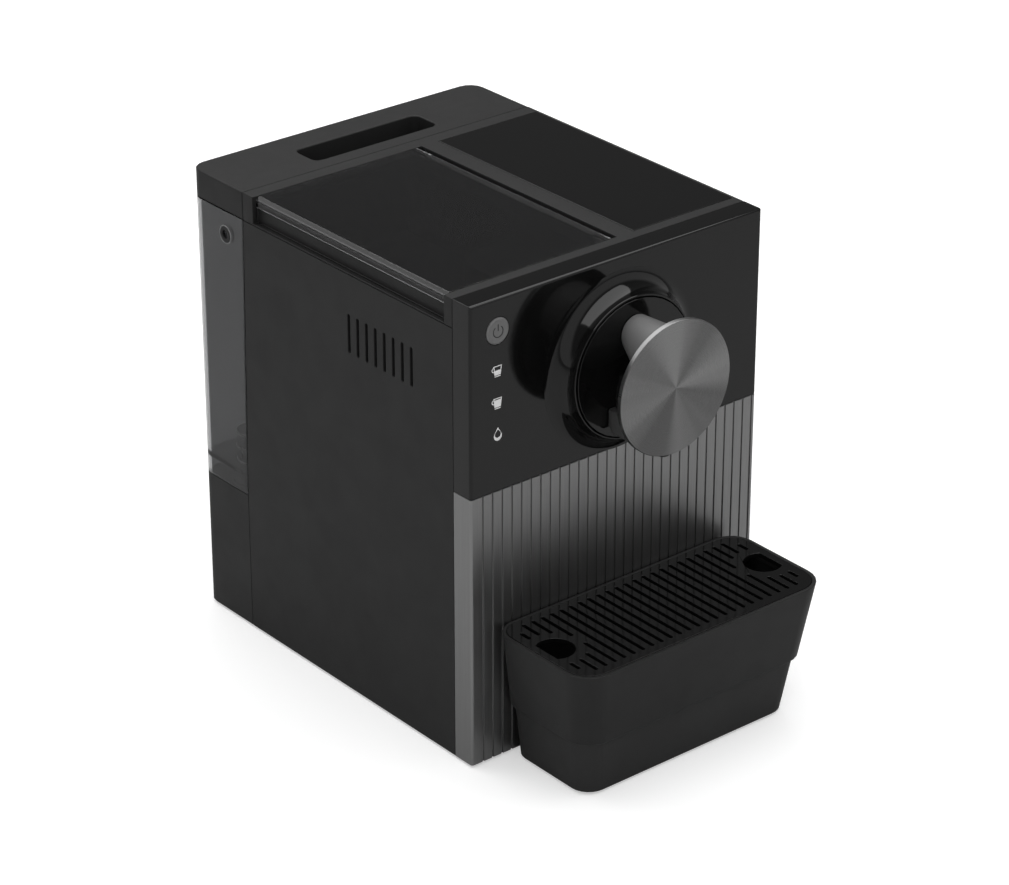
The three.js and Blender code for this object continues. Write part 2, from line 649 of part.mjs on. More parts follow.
function topPanelRight() {
  const x0 = middleBarX + MIDDLE_BAR + FIT;
  return box(x0, half - PANEL_RIM - FIT, openFront + FIT, openRear - FIT, HEIGHT - PANEL_SKIN, HEIGHT);
}

// The right edge is a quarter round about the hinge axis, so it clears the bar as it turns.
function capsuleLid() {
  const x0 = -half + LID_INSET;
  const section = new THREE.Shape();
  section.moveTo(x0, lidEdgeZ + EDGE / 2);
  section.lineTo(x0, HEIGHT - LID_BEVEL);
  section.lineTo(x0 + LID_BEVEL, HEIGHT);
  section.lineTo(hingeX, HEIGHT);
  section.absarc(hingeX, lidZ, LID_SKIN, QUARTER, 0, true);
  section.lineTo(wellX, lidZ);
  section.lineTo(wellX, lidEdgeZ);
  section.lineTo(x0 + EDGE / 2, lidEdgeZ);
  const [y0, y1] = [openFront + LID_GAP, openRear - LID_GAP];
  const plate = lengthwise(section, y0, y1);
  const ends = [[y0, y0 + BARREL_LENGTH], [y1 - BARREL_LENGTH, y1]];
  const barrels = ends.map(([a, b]) => rodY(BARREL_R, a, b, hingeX, lidZ, 16));
  const bores = [[y0 - 1, y0 + BARREL_LENGTH], [y1 - BARREL_LENGTH, y1 + 1]].map(([a, b]) =>
    rodY(PIN_R + PIN_GAP, a, b, hingeX, lidZ, 16));
  return cut(join(plate, ...barrels), ...bores);
}

function hingePin() {
  return rodY(PIN_R, -PIN_LENGTH / 2, PIN_LENGTH / 2, 0, 0, 16);
}

// Deep pocket at the left, a step behind, and a hump over the brew chamber at the right front.
function capsuleBin() {
  const flangeZ = ledgeTop + FIT;
  const rimZ = flangeZ + 1.6;
  const x0 = wellX + LEDGE + FIT;
  const x1 = shelfX - FIT;
  const y0 = openFront + LEDGE + FIT;
  const y1 = openRear - LEDGE - FIT;
  const flangeX = hingeX - BARREL_R - FIT;
  const flange = box(wellX + FIT, flangeX, openFront + FIT, openRear - FIT, flangeZ, rimZ);
  const t = BIN_SKIN;
  const deepFloor = (drop) => outline([
    [y0, HEIGHT - BIN_DEEP_FRONT - drop], [y1, HEIGHT - BIN_DEEP_REAR - drop], [y1, rimZ], [y0, rimZ],
  ]);
  const humpZ = headZ + CHAMBER_R + 2 * FIT;
  const humpY = front + BIN_HUMP;
  const stepZ = HEIGHT - BIN_STEP;
  const deepX = -CHAMBER_R - BIN_DEEP_GAP;
  const bodies = [
    sideways(deepFloor(t), x0, deepX),
    box(deepX - t, x1, humpY - BIN_HUMP_CORNER - t, y1, stepZ - t, rimZ),
    box(deepX - t, x1, y0, humpY, humpZ, rimZ),
  ];
  const hump = roundedRect(deepX - t, y0 - 1, x1, humpY, [0, 0, 0, BIN_HUMP_CORNER]);
  const inner = box(x0 + t, x1 - t, y0 + t, y1 - t, stepZ, rimZ + 1);
  const deep = sideways(deepFloor(0), x0 + t, deepX - t).intersect(
    box(x0, x1, y0 + t, y1 - t, 0, HEIGHT));
  const hollow = join(deep, cut(inner, upright(hump, 0, humpZ + t)), box(x0 + t, x1 - t, y0 + t,
    y1 - t, humpZ + t, rimZ + 1));
  return cut(join(flange, ...bodies), hollow);
}

// ---------------------------------------------------------------- water tank

function tankPlan(inset) {
  const x = half - inset;
  const r = CORNER - inset;
  return roundedRect(-x, seamTop - 1, x, rear - inset, [0, 0, r, r]);
}

// Everything behind the leaning front wall, moved back by inset.
function behindSeam(inset) {
  const lean = outline([
    [seamLow + inset, 0], [rear + 1, 0], [rear + 1, HEIGHT], [seamTop + inset, HEIGHT],
    [seamTop + inset, beltZ], [seamLow + inset, DECK_Z],
  ]);
  return sideways(lean, -half - 1, half + 1);
}

function waterTank() {
  const w = TANK_WALL;
  const outer = upright(tankPlan(0), tankFoot, tankTop).intersect(behindSeam(0));
  const inside = upright(tankPlan(w), tankFloor, HEIGHT).intersect(behindSeam(w));
  const skirt = upright(tankPlan(w), 0, tankFloor - w).intersect(behindSeam(w));
  const sleeveTop = tankFloor - w;
  const sleeveLow = tankFoot + w;
  const sleeve = rodZ(VALVE_SLEEVE_R + w / 1.5, sleeveLow, sleeveTop + w / 2, valveX, valveY);
  const sleeveBore = rodZ(VALVE_SLEEVE_R, sleeveLow - 1, sleeveTop, valveX, valveY);
  const seat = rodZ(VALVE_SEAT_R, sleeveTop - 1, tankFloor + 1, valveX, valveY);
  const wallIn = half - w;
  const eyeRims = [-1, 1].map((side) => {
    const [a, b] = [side * (wallIn - 1.2), side * (wallIn + 0.5)].sort((p, q) => p - q);
    return rodX(EYE_R + EYE_RIM, a, b, eyeY, eyeZ);
  });
  const eyes = rodX(EYE_R, -half - 1, half + 1, eyeY, eyeZ);
  return cut(join(cut(outer, inside, skirt), sleeve, ...eyeRims), sleeveBore, seat, eyes);
}

function tankLid() {
  const plan = roundedRect(-half, seamTop, half, rear, [0, 0, CORNER, CORNER]);
  const roomPlan = roundedRect(-half + WALL, seamTop + WALL, half - WALL, rear - WALL,
    [0, 0, CORNER - WALL, CORNER - WALL]);
  const shell = cut(upright(plan, beltZ, HEIGHT), upright(roomPlan, beltZ - 1, HEIGHT - WALL));
  const gap = TANK_WALL + FIT;
  const ring = (inset, z0, z1) => upright(tankPlan(inset), z0, z1).intersect(behindSeam(inset));
  const spigot = cut(
    join(ring(gap, beltZ - LID_SPIGOT, beltZ + 2), ring(WALL - 0.5, beltZ, beltZ + 2)),
    ring(gap + 2, beltZ - LID_SPIGOT - 1, beltZ + 3),
  );
  const px = LID_POCKET_LENGTH / 2;
  const py = rear - LID_POCKET_IN;
  const pr = LID_POCKET_CORNER;
  const pocketPlan = (grow) => roundedRect(-px - grow, py - grow, px + grow,
    py + LID_POCKET_WIDTH + grow, [pr, pr, pr, pr]);
  const cup = upright(pocketPlan(2), HEIGHT - LID_POCKET_DEPTH - 2, HEIGHT - 1);
  const pocket = upright(pocketPlan(0), HEIGHT - LID_POCKET_DEPTH, HEIGHT + 1);
  return cut(join(shell, spigot, cup), pocket);
}

// Valve parts are modelled about the valve's own axis, with z = 0 on the tank's floor.
const washerZ = VALVE_LIFT + FIT; // the washer rests this far above the floor on the socket's pin
const plungerZ = washerZ + WASHER + FIT;
const socketR = VALVE_SLEEVE_R + 2;

function valveCup() {
  const top = VALVE_CUP_HEIGHT;
  const shell = turnedZ([
    [VALVE_STEM_R + FIT, top - 1.4], [VALVE_CUP_R - 1.2, top - 1.4], [VALVE_CUP_R - 1.2, FIT],
    [VALVE_CUP_R, FIT], [VALVE_CUP_R, top], [VALVE_STEM_R + FIT, top],
    [VALVE_STEM_R + FIT, top - 1.4],
  ], 16);
  const windows = [
    box(-VALVE_CUP_R - 1, VALVE_CUP_R + 1, -2, 2, 3, top - 4),
    box(-2, 2, -VALVE_CUP_R - 1, VALVE_CUP_R + 1, 3, top - 4),
  ];
  return cut(shell, ...windows);
}

function valvePlunger() {
  const hub = VALVE_SEAT_R - 2 * FIT;
  return turnedZ([
    [0, washerZ], [hub, washerZ], [hub, plungerZ], [VALVE_HEAD_R, plungerZ], [VALVE_HEAD_R, plungerZ + 1.4],
    [VALVE_STEM_R, plungerZ + 1.4], [VALVE_STEM_R, VALVE_CUP_HEIGHT + 2], [0, VALVE_CUP_HEIGHT + 2],
  ], 12);
}

function valveWasher() {
  return ringZ(VALVE_SEAT_R - FIT, VALVE_HEAD_R, washerZ, washerZ + WASHER);
}

class Helix extends THREE.Curve {
  constructor(radius, low, high, turns) {
    super();
    Object.assign(this, { radius, low, high, turns });
  }

  getPoint(t, target = new THREE.Vector3()) {
    const angle = t * this.turns * 2 * Math.PI;
    const z = this.low + t * (this.high - this.low);
    return target.set(this.radius * Math.cos(angle), this.radius * Math.sin(angle), z);
  }
}

function valveSpring() {
  const low = plungerZ + 1.4 + FIT + SPRING_WIRE_R;
  const high = VALVE_CUP_HEIGHT - 1.4 - FIT - SPRING_WIRE_R;
  return tubeOn(new Helix(SPRING_R, low, high, SPRING_TURNS), SPRING_WIRE_R, 32, 4);
}

// Socket on the deck: a nipple for the tank's sleeve, and the pin that opens the valve.
function tankSocket() {
  const deck = DECK_Z - tankFloor;
  const nippleR = VALVE_SLEEVE_R - FIT;
  const nippleTop = -TANK_WALL - 1;
  const grooveZ = nippleTop - 3;
  const body = turnedZ([
    [0, deck - 16], [HOSE_R - FIT, deck - 16], [HOSE_R - FIT, deck - 8], [socketR, deck - 8],
    [socketR, deck + FIT], [socketR + 2, deck + FIT], [socketR + 2, deck + FIT + 1.4],
    [nippleR, deck + FIT + 1.4], [nippleR, grooveZ - 2.2], [nippleR - 1.2, grooveZ - 2.2],
    [nippleR - 1.2, grooveZ], [nippleR, grooveZ], [nippleR, nippleTop], [0, nippleTop],
  ], 12);
  const well = rodZ(VALVE_SEAT_R - FIT, deck, nippleTop + 1);
  const pin = rodZ(1.2, deck - 1, washerZ - FIT, 0, 0, 12);
  const drains = [0, 1, 2].map((i) => {
    const angle = (i * 2 * Math.PI) / 3;
    return rodZ(0.8, deck - 6, deck + 1, 2.4 * Math.cos(angle), 2.4 * Math.sin(angle), 8);
  });
  const chamber = rodZ(3.4, deck - 7, deck - 4);
  const bore = rodZ(WATER_BORE, deck - 17, deck - 6, 0, 0, 12);
  return cut(join(cut(body, well), pin), ...drains, chamber, bore);
}

function socketSeal() {
  const nippleR = VALVE_SLEEVE_R - FIT;
  const grooveZ = -TANK_WALL - 4;
  return ringZ(nippleR - 0.9, nippleR, grooveZ - 1.9, grooveZ - FIT);
}

// ---------------------------------------------------------------- brew head, about its own axis

function headCollar() {
  const nose = -COLLAR_REACH;
  const rimR = COLLAR_R - COLLAR_FLARE;
  const flareTop = -COLLAR_FOOT - COLLAR_FLARE;
  const profile = [
    [COLLAR_BORE, nose + EDGE / 2], [COLLAR_BORE + EDGE / 2, nose],
    [rimR - COLLAR_RIM * 0.3, nose + COLLAR_RIM * 0.3], [rimR, nose + COLLAR_RIM],
  ];
  for (let i = 0; i <= COLLAR_STEPS; i += 1) {
    const angle = (i / COLLAR_STEPS) * QUARTER;
    profile.push([
      COLLAR_R - COLLAR_FLARE * Math.cos(angle),
      flareTop + COLLAR_FLARE * Math.sin(angle),
    ]);
  }
  profile.push([COLLAR_R, -FIT], [COLLAR_SLEEVE, -FIT], [COLLAR_SLEEVE, COLLAR_SLEEVE_LENGTH],
    [COLLAR_BORE, COLLAR_SLEEVE_LENGTH], [COLLAR_BORE, nose + EDGE / 2]);
  return turnedY(profile, 36);
}

function brewChamber() {
  const bore = CUP_R + HOLDER_GAP;
  const sleeveEnd = COLLAR_SLEEVE_LENGTH + FIT;
  const mouthR = COLLAR_BORE - FIT;
  return turnedY([
    [bore, chamberMouth], [mouthR, chamberMouth], [mouthR, sleeveEnd], [CHAMBER_FLANGE_R, sleeveEnd],
    [CHAMBER_FLANGE_R, sleeveEnd + CHAMBER_FLANGE], [CHAMBER_R, sleeveEnd + CHAMBER_FLANGE],
    [CHAMBER_R, chamberEnd], [NIPPLE_R, chamberEnd], [NIPPLE_R, chamberEnd + NIPPLE_LENGTH],
    [WATER_BORE, chamberEnd + NIPPLE_LENGTH], [WATER_BORE, chamberEnd - CHAMBER_BACK],
    [CHAMBER_STEP_R, chamberEnd - CHAMBER_BACK], [CHAMBER_STEP_R, chamberStep], [bore, chamberStep],
    [bore, chamberMouth],
  ], 20);
}

function headSeal() {
  return ringY(SEAL_BORE, CUP_R, cupEnd + FIT, sealEnd);
}

function needlePlate() {
  const y0 = sealEnd + FIT;
  const disc = turnedY([
    [WATER_BORE, y0], [CUP_R, y0], [CUP_R, plateEnd], [6, plateEnd], [6, plateEnd + 4],
    [WATER_BORE, plateEnd + 4], [WATER_BORE, y0],
  ]);
  const needles = [];
  for (let i = 0; i < NEEDLE_COUNT; i += 1) {
    const angle = QUARTER + (i * 2 * Math.PI) / NEEDLE_COUNT;
    const profile = [[0, y0 - NEEDLE_LENGTH], [1.6, y0 - 2], [1.6, y0 + 1], [0, y0 + 1]];
    const [x, z] = [NEEDLE_CIRCLE * Math.cos(angle), NEEDLE_CIRCLE * Math.sin(angle)];
    needles.push(turnedY(profile, 8, x, z));
  }
  return join(disc, ...needles);
}

// One bar across the ring per lug, turned round the head's axis.
function lugBar(width, inner, outer, y0, y1, index) {
  const geometry = new THREE.BoxGeometry(width, y1 - y0, outer - inner);
  geometry.translate(0, (y0 + y1) / 2, (outer + inner) / 2);
  return solid(geometry.rotateY((index * 2 * Math.PI) / 3));
}

function lockRing() {
  const y0 = holderBack + FIT;
  const ring = ringY(CUP_R + HOLDER_GAP, COLLAR_BORE - HOLDER_GAP, y0, ringRear, 36);
  const slotEnd = holderBack + LUG_LENGTH + FIT;
  const slots = [0, 1, 2].map((i) =>
    lugBar(LUG_WIDTH + 2 * FIT, CUP_R - 1, CUP_R + LUG_REACH + FIT, y0 - 1, slotEnd, i));
  return cut(ring, ...slots);
}

function podHolder() {
  const nose = holderBack - HOLDER_SKIN;
  const cavity = CUP_R - CUP_WALL;
  const plate = COLLAR_BORE - HOLDER_GAP;
  const body = turnedY([
    [0, nose], [plate, nose], [plate, holderBack], [CUP_R, holderBack], [CUP_R, cupEnd],
    [cavity, cupEnd], [cavity, holderBack], [0, holderBack],
  ], 36);
  const lugs = [0, 1, 2].map((i) =>
    lugBar(LUG_WIDTH, CUP_R - 1, CUP_R + LUG_REACH, holderBack - 1, holderBack + LUG_LENGTH, i));
  const outlet = rodY(NOZZLE_BORE, nose - 1, holderBack + 1, 0, -OUTLET_DOWN);
  return cut(join(body, ...lugs), outlet);
}

// Round post between the holder and the disc: its top line is level, and it widens forwards.
function postSolid(grow) {
  const length = knobRear - discBack - FIT;
  const geometry = new THREE.CylinderGeometry(
    POST_REAR_R + grow, POST_FRONT_R + grow, length, 28);
  geometry.translate(0, length / 2, 0);
  const lean = (POST_FRONT_R - POST_REAR_R) / length;
  const shear = new THREE.Matrix4().set(1, 0, 0, 0, 0, 1, 0, 0, 0, lean, 1, 0, 0, 0, 0, 1);
  geometry.applyMatrix4(shear);
  const frontUp = POST_REAR_UP - (POST_FRONT_R - POST_REAR_R);
  return solid(geometry.translate(0, discBack + FIT, frontUp));
}

function spoutBody(grow) {
  const [y0, y1] = [discBack + FIT, knobRear];
  const plan = outline([
    [-SPOUT_NARROW - grow, y0], [SPOUT_NARROW + grow, y0],
    [SPOUT_WIDE + grow, y1 - 4], [SPOUT_WIDE + grow, y1], [-SPOUT_WIDE - grow, y1],
    [-SPOUT_WIDE - grow, y1 - 4],
  ]);
  const profile = outline([
    [y0, -SPOUT_FRONT_LOW - grow], [y1 - 3, -SPOUT_REAR_LOW - grow], [y1, 3 - SPOUT_REAR_LOW],
    [y1, -SPOUT_TOP + grow], [y0, -SPOUT_TOP + grow],
  ]);
  const reach = DISC_R + SPOUT_FRONT_LOW;
  return upright(plan, -reach, reach).intersect(sideways(profile, -reach, reach));
}

function coffeeSpout() {
  const nozzleY = -DISC_REACH + NOZZLE_BACK;
  const nozzle = rodZ(NOZZLE_R, -NOZZLE_DOWN, -OUTLET_DOWN, 0, nozzleY);
  const drop = rodZ(NOZZLE_BORE, -NOZZLE_DOWN - 1, -OUTLET_DOWN, 0, nozzleY);
  const duct = rodY(NOZZLE_BORE, nozzleY - NOZZLE_BORE, knobRear + 1, 0, -OUTLET_DOWN);
  return cut(join(spoutBody(0), nozzle), drop, duct);
}

// Ribbed grip behind the disc, open at the top for the post and below for the spout.
function knobGrip() {
  const points = [];
  for (let i = 0; i < GRIP_RIBS; i += 1) {
    for (const [share, r] of [[0, GRIP_R - GRIP_RIB], [0.45, GRIP_R - GRIP_RIB], [0.55, GRIP_R],
      [0.9, GRIP_R]]) {
      const angle = ((i + share) / GRIP_RIBS) * 2 * Math.PI;
      points.push([r * Math.cos(angle), r * Math.sin(angle)]);
    }
  }
  const grip = lengthwise(outline(points), discBack + FIT, discBack + FIT + GRIP_DEPTH);
  const open = THREE.MathUtils.degToRad(GRIP_OPEN);
  const far = 2 * GRIP_R;
  const wedge = outline([
    [0, 0], [far * Math.sin(open), far * Math.cos(open)], [far, far], [-far, far],
    [-far * Math.sin(open), far * Math.cos(open)],
  ]);
  const opened = cut(grip, lengthwise(wedge, discBack, discBack + 2 * GRIP_DEPTH));
  return cut(opened, postSolid(FIT), spoutBody(FIT));
}

function knobFace() {
  const nose = -DISC_REACH;
  return turnedY([
    [0, nose], [DISC_R - DISC_BEVEL, nose], [DISC_R, nose + DISC_BEVEL], [DISC_R, discBack],
    [0, discBack],
  ], 48);
}

// ---------------------------------------------------------------- power button and control board

function powerButton() {
  const back = front + WALL + FIT;
  const stemEnd = boardFront - BUTTON_TRAVEL - 2 * FIT - 1.2;
  const nose = front - BUTTON_PROUD;
  return turnedY([
    [0, nose], [BUTTON_R - 1, nose], [BUTTON_R, nose + 0.6], [BUTTON_R, back],
    [BUTTON_R + BUTTON_RETAINER, back], [BUTTON_R + BUTTON_RETAINER, back + 1.2], [2, back + 1.2],
    [2, stemEnd], [0, stemEnd],
  ]);
}

function buttonSwitch() {
  const y1 = boardFront - FIT;
  return join(
    box(-4, 4, y1 - 0.8, y1, -4, 4),
    rodY(1.6, y1 - 1.2, y1, 0, 0, 12),
  );
}

function controlBoard() {
  const x0 = -insideX + LIP + 2;
  const [z0, z1] = [buttonZ - 60, buttonZ + 8];
  const plate = box(x0, buttonX + 14, boardFront, boardFront + BOARD_SKIN, z0, z1);
  const back = boardFront + BOARD_SKIN;
  const chip = box(buttonX - 6, buttonX + 6, back - 0.5, back + 2, buttonZ - 30, buttonZ - 18);
  const plug = box(buttonX - 7, buttonX + 7, back - 0.5, back + 4, z0 + 4, z0 + 12);
  return join(plate, chip, plug);
}

// The relay, two capacitors, a heat sink and a terminal block stand on its inner face.
function powerBoard() {
  const [y0, y1] = powerBoardY;
  const top = POWER_BOARD_Z + POWER_BOARD_HEIGHT;
  const plate = box(powerBoardX, powerBoardX + BOARD_SKIN, y0, y1, POWER_BOARD_Z, top);
  const x = powerBoardX + BOARD_SKIN / 3;
  const block = (reach, y, length, z, height) =>
    box(x - reach, x, y0 + y, y0 + y + length, top - z - height, top - z);
  return join(
    plate,
    block(11, 12, 28, 18, 26),
    block(8, 78, 16, 48, 18),
    block(6, 10, 22, 58, 14),
    rodX(6, x - 12, x, y0 + 54, top - 40, 14),
    rodX(4, x - 9, x, y0 + 70, top - 26, 12),
  );
}

// ---------------------------------------------------------------- chassis, pump, heater, hoses

// Folded steel: two walls, a shelf for the heater, and a yoke that backs the brew chamber and
// straddles the pump.
function innerChassis() {
  const t = CHASSIS_SKIN;
  const [x0, x1] = [chassisLeft, chassisRight];
  const yokeTop = headZ + CHAMBER_R - 4;
  const shelfTop = shelfZ + t;
  const left = box(x0, x0 + t, yokeFront, chassisRear, chassisFoot, shelfTop);
  const right = box(x1 - t, x1, yokeFront, chassisRear, chassisFoot, shelfTop + 20);
  const shelf = box(x0, x1, yokeFront, chassisRear, shelfZ, shelfTop);
  const yoke = box(x0, x1, yokeFront, yokeRear, chassisFoot, yokeTop);
  const toes = [
    box(x0, x0 + 12, yokeFront, chassisRear, chassisFoot, chassisFoot + t),
    box(x1 - 12, x1, yokeFront, chassisRear, chassisFoot, chassisFoot + t),
  ];
  const pumpWindow = box(x0 + 14, x1 - 14, yokeFront - 1, yokeRear + 1, 0, shelfZ - 14);
  const nippleHole = rodY(NIPPLE_R + 4, yokeFront - 1, yokeRear + 1, 0, headZ);
  const hoseHole = rodY(HOSE_R + 2, yokeFront - 1, yokeRear + 1, inletX, inletZ, 12);
  const lightening = [0, 1, 2].map((i) =>
    rodX(12, x0 - 1, x1 + 1, yokeFront + 20 + i * 30, shelfZ / 2, 12));
  return cut(join(left, right, shelf, yoke, ...toes), pumpWindow, nippleHole, hoseHole,
    ...lightening);
}

const inletX = blockX[1] - 10;
const inletZ = blockZ + BLOCK_HEIGHT / 2;
const outletX = blockX[0] + 30;
const outletY = blockFront + 18;

// Cast heating block with cooling ribs, an inlet at the front and an outlet on top.
function thermoblock() {
  const [x0, x1] = blockX;
  const [y0, y1] = [blockFront, blockFront + BLOCK_LENGTH];
  const top = blockZ + BLOCK_HEIGHT;
  const block = upright(roundedRect(x0, y0, x1, y1, [6, 6, 6, 6]), blockZ, top);
  const grooves = [];
  for (let y = y0 + 34; y < y1 - 8; y += 8) {
    grooves.push(box(x0 - 1, x1 + 1, y, y + 4, top - 4, top + 1));
  }
  const inlet = rodY(NIPPLE_R, y0 - NIPPLE_LENGTH, y0 + 1, inletX, inletZ, 12);
  const outlet = rodZ(NIPPLE_R, top - 1, top + NIPPLE_LENGTH - 2, outletX, outletY);
  const terminals = [x0 + 12, x1 - 12].map((x) => box(x - 3, x + 3, y1 - 1, y1 + 8, blockZ + 8,
    blockZ + 9));
  return join(cut(block, ...grooves), inlet, outlet, ...terminals);
}

function thermostat() {
  const z = blockZ + BLOCK_HEIGHT + FIT;
  const can = turnedZ([[0, z], [7.5, z], [7.5, z + 3], [5, z + 3], [5, z + 5], [0, z + 5]], 16);
  return join(can, box(-11, 11, -2.5, 2.5, z, z + 0.8), box(-4, -3, -2, 2, z + 4, z + 10),
    box(3, 4, -2, 2, z + 4, z + 10));
}

// Pump parts are modelled about the pump's axis, with y as in the machine.
const pumpFront = rubberY[0] - 24;
const pumpRear = rubberY[1] + 24;

function pumpBody() {
  const [a, b] = [rubberY[0] - 6, rubberY[1] + 6];
  const barrel = turnedY([
    [0, pumpFront], [NIPPLE_R, pumpFront], [NIPPLE_R, a - 8], [9, a - 8], [9, a], [PUMP_R, a],
    [PUMP_R, b], [10, b], [10, b + 8], [NIPPLE_R, b + 8], [NIPPLE_R, pumpRear], [0, pumpRear],
  ], 12);
  const coil = roundedRect(-20, -20, 20, 20, [4, 4, 4, 4]);
  const coilEnds = [rubberY[0] + RUBBER_WIDTH + 2, rubberY[1] - RUBBER_WIDTH - 2];
  return join(barrel, lengthwise(coil, ...coilEnds), box(-6, 6, coilEnds[0] + 6, coilEnds[0] + 18,
    18, 24));
}

function rubberRing() {
  return ringY(PUMP_R + FIT, RUBBER_R, -RUBBER_WIDTH / 2, RUBBER_WIDTH / 2, 16);
}

function pumpCradle() {
  const foot = chassisFoot - PUMP_Z;
  const side = RUBBER_R + 4;
  const plate = box(-side, side, rubberY[0] - 8, rubberY[1] + 8, foot, foot + 2);
  const arms = rubberY.map((y) => {
    const arm = box(-side, side, y - RUBBER_WIDTH / 2, y + RUBBER_WIDTH / 2, foot, 0);
    return cut(
      arm,
      rodY(RUBBER_R + FIT, y - RUBBER_WIDTH, y + RUBBER_WIDTH, 0, 0, 16),
      box(-side + 6, side - 6, y - RUBBER_WIDTH, y + RUBBER_WIDTH, foot + 8, -RUBBER_R - 6),
    );
  });
  return join(plate, ...arms);
}

function flowMeter() {
  const z = METER_HEIGHT / 2;
  const puck = turnedZ([
    [0, 0], [METER_R, 0], [METER_R, METER_HEIGHT - 3], [METER_R - 3, METER_HEIGHT],
    [0, METER_HEIGHT],
  ], 16);
  const reach = METER_R + NIPPLE_LENGTH;
  return join(puck, rodY(NIPPLE_R, 0, reach, 0, z), rodX(NIPPLE_R, 0, reach, 0, z));
}

const meterZ = chassisFoot + METER_HEIGHT / 2;
const meterReach = METER_R + NIPPLE_LENGTH + FIT;

function hoseSocketToMeter() {
  const top = DECK_Z - 16 - FIT;
  const end = meterY + meterReach;
  return tube([
    [valveX, valveY, top], [valveX, valveY, top - 12], [valveX + 2, valveY, top - 26],
    [meterX - 6, valveY + 2, meterZ + 8], [meterX, end + 8, meterZ], [meterX, end, meterZ],
  ], HOSE_R, 15);
}

function hoseMeterToPump() {
  const start = meterX + meterReach;
  const end = pumpRear + FIT;
  return tube([
    [start, meterY, meterZ], [start + 10, meterY, meterZ], [start + 34, meterY + 8, meterZ + 10],
    [pumpX - 8, meterY + 13, PUMP_Z - 28], [pumpX, end + 14, PUMP_Z - 6],
    [pumpX, end + 6, PUMP_Z], [pumpX, end, PUMP_Z],
  ], HOSE_R, 16);
}

function hosePumpToHeater() {
  const start = pumpFront - FIT;
  const end = blockFront - NIPPLE_LENGTH - FIT;
  const wayUp = yokeFront - 14;
  return tube([
    [pumpX, start, PUMP_Z], [pumpX, start - 8, PUMP_Z], [pumpX + 12, wayUp - 4, PUMP_Z + 12],
    [inletX - 2, wayUp - 4, PUMP_Z + 44], [inletX, wayUp, inletZ - 8], [inletX, yokeFront - 4, inletZ],
    [inletX, end - 4, inletZ], [inletX, end, inletZ],
  ], HOSE_R, 18);
}

function hoseHeaterToHead() {
  const bottom = blockZ + BLOCK_HEIGHT + NIPPLE_LENGTH - 2 + FIT;
  const end = front + chamberEnd + NIPPLE_LENGTH + FIT;
  return tube([
    [outletX, outletY, bottom], [outletX, outletY, bottom + 4],
    [outletX - 6, outletY - 10, bottom + 12], [outletX - 16, outletY - 22, headZ + 1],
    [0, end + 8, headZ], [0, end, headZ],
  ], HOSE_R, 13);
}

// ---------------------------------------------------------------- drip tray

// Outline of the tray at its rim, pulled in by inset.
function trayPlan(inset, gapBehind = FIT) {
  const x = trayHalf - inset;
  const [r, q] = [TRAY_FRONT_CORNER - inset, TRAY_REAR_CORNER - inset];
  const rearInset = Math.max(inset, gapBehind);
  return roundedRect(-x, -TRAY_REACH + inset, x, -rearInset, [r, r, q, q]);
}

// A prism of that outline whose sides and front lean in towards the floor.
function trayBlock(inset, z0, z1) {
  const geometry = prism(trayPlan(inset), z0, z1, [AXIS_X, AXIS_Y, AXIS_Z], AXIS_Z, 3);
  const points = geometry.attributes.position;
  for (let i = 0; i < points.count; i += 1) {
    const drop = (TRAY_HEIGHT - points.getZ(i)) * TRAY_TAPER;
    points.setX(i, points.getX(i) * (1 - drop / trayHalf));
    points.setY(i, points.getY(i) * (1 - drop / TRAY_REACH));
  }
  return solid(geometry);
}

function dripTray() {
  const ledge = TRAY_HEIGHT - GRILLE_SKIN - FIT;
  return cut(
    trayBlock(0, TRAY_SPLIT, TRAY_HEIGHT),
    trayBlock(TRAY_WALL, TRAY_SPLIT + TRAY_FLOOR, ledge - GRILLE_LEDGE),
    trayBlock(TRAY_WALL + GRILLE_LEDGE, TRAY_SPLIT + TRAY_FLOOR + 1, TRAY_HEIGHT + 1),
    upright(trayPlan(RIM_WIDTH), ledge, TRAY_HEIGHT + 1, 3),
  );
}

// Slots run from front to back, and stop short of the round lands of the two finger holes.
function dripGrille() {
  const z0 = TRAY_HEIGHT - GRILLE_SKIN;
  const plate = upright(trayPlan(RIM_WIDTH + FIT), z0, TRAY_HEIGHT, 3);
  const [near, far] = [-TRAY_REACH + SLOT_FRONT, -SLOT_REAR];
  const slot = (x, a, b) =>
    upright(slotShape(x, a, b, SLOT_WIDTH / 2), z0 - 1, TRAY_HEIGHT + 1);
  const slots = [];
  for (let column = -SLOT_COLUMNS; column <= SLOT_COLUMNS; column += 1) {
    const x = column * SLOT_PITCH;
    const across = Math.abs(Math.abs(x) - FINGER_X);
    const cornerCut = Math.abs(column) === SLOT_COLUMNS ? SLOT_PITCH : 0;
    if (across >= FINGER_LAND) {
      slots.push(slot(x, near, far));
    } else {
      const reach = Math.sqrt(FINGER_LAND ** 2 - across ** 2);
      slots.push(slot(x, -FINGER_IN + reach, far - cornerCut));
      slots.push(slot(x, near + cornerCut, -FINGER_IN - reach));
    }
  }
  const holes = [-1, 1].map((side) => {
    const round = rodZ(FINGER_R, z0 - 1, TRAY_HEIGHT + 1, side * FINGER_X, -FINGER_IN, 20);
    const [a, b] = [side * (FINGER_X - 2 * FINGER_R), side * (FINGER_X + FINGER_FLAT)].sort(
      (p, q) => p - q);
    return round.intersect(box(a, b, -TRAY_REACH, 0, z0 - 2, TRAY_HEIGHT + 2));
  });
  return cut(plate, ...slots, ...holes);
}

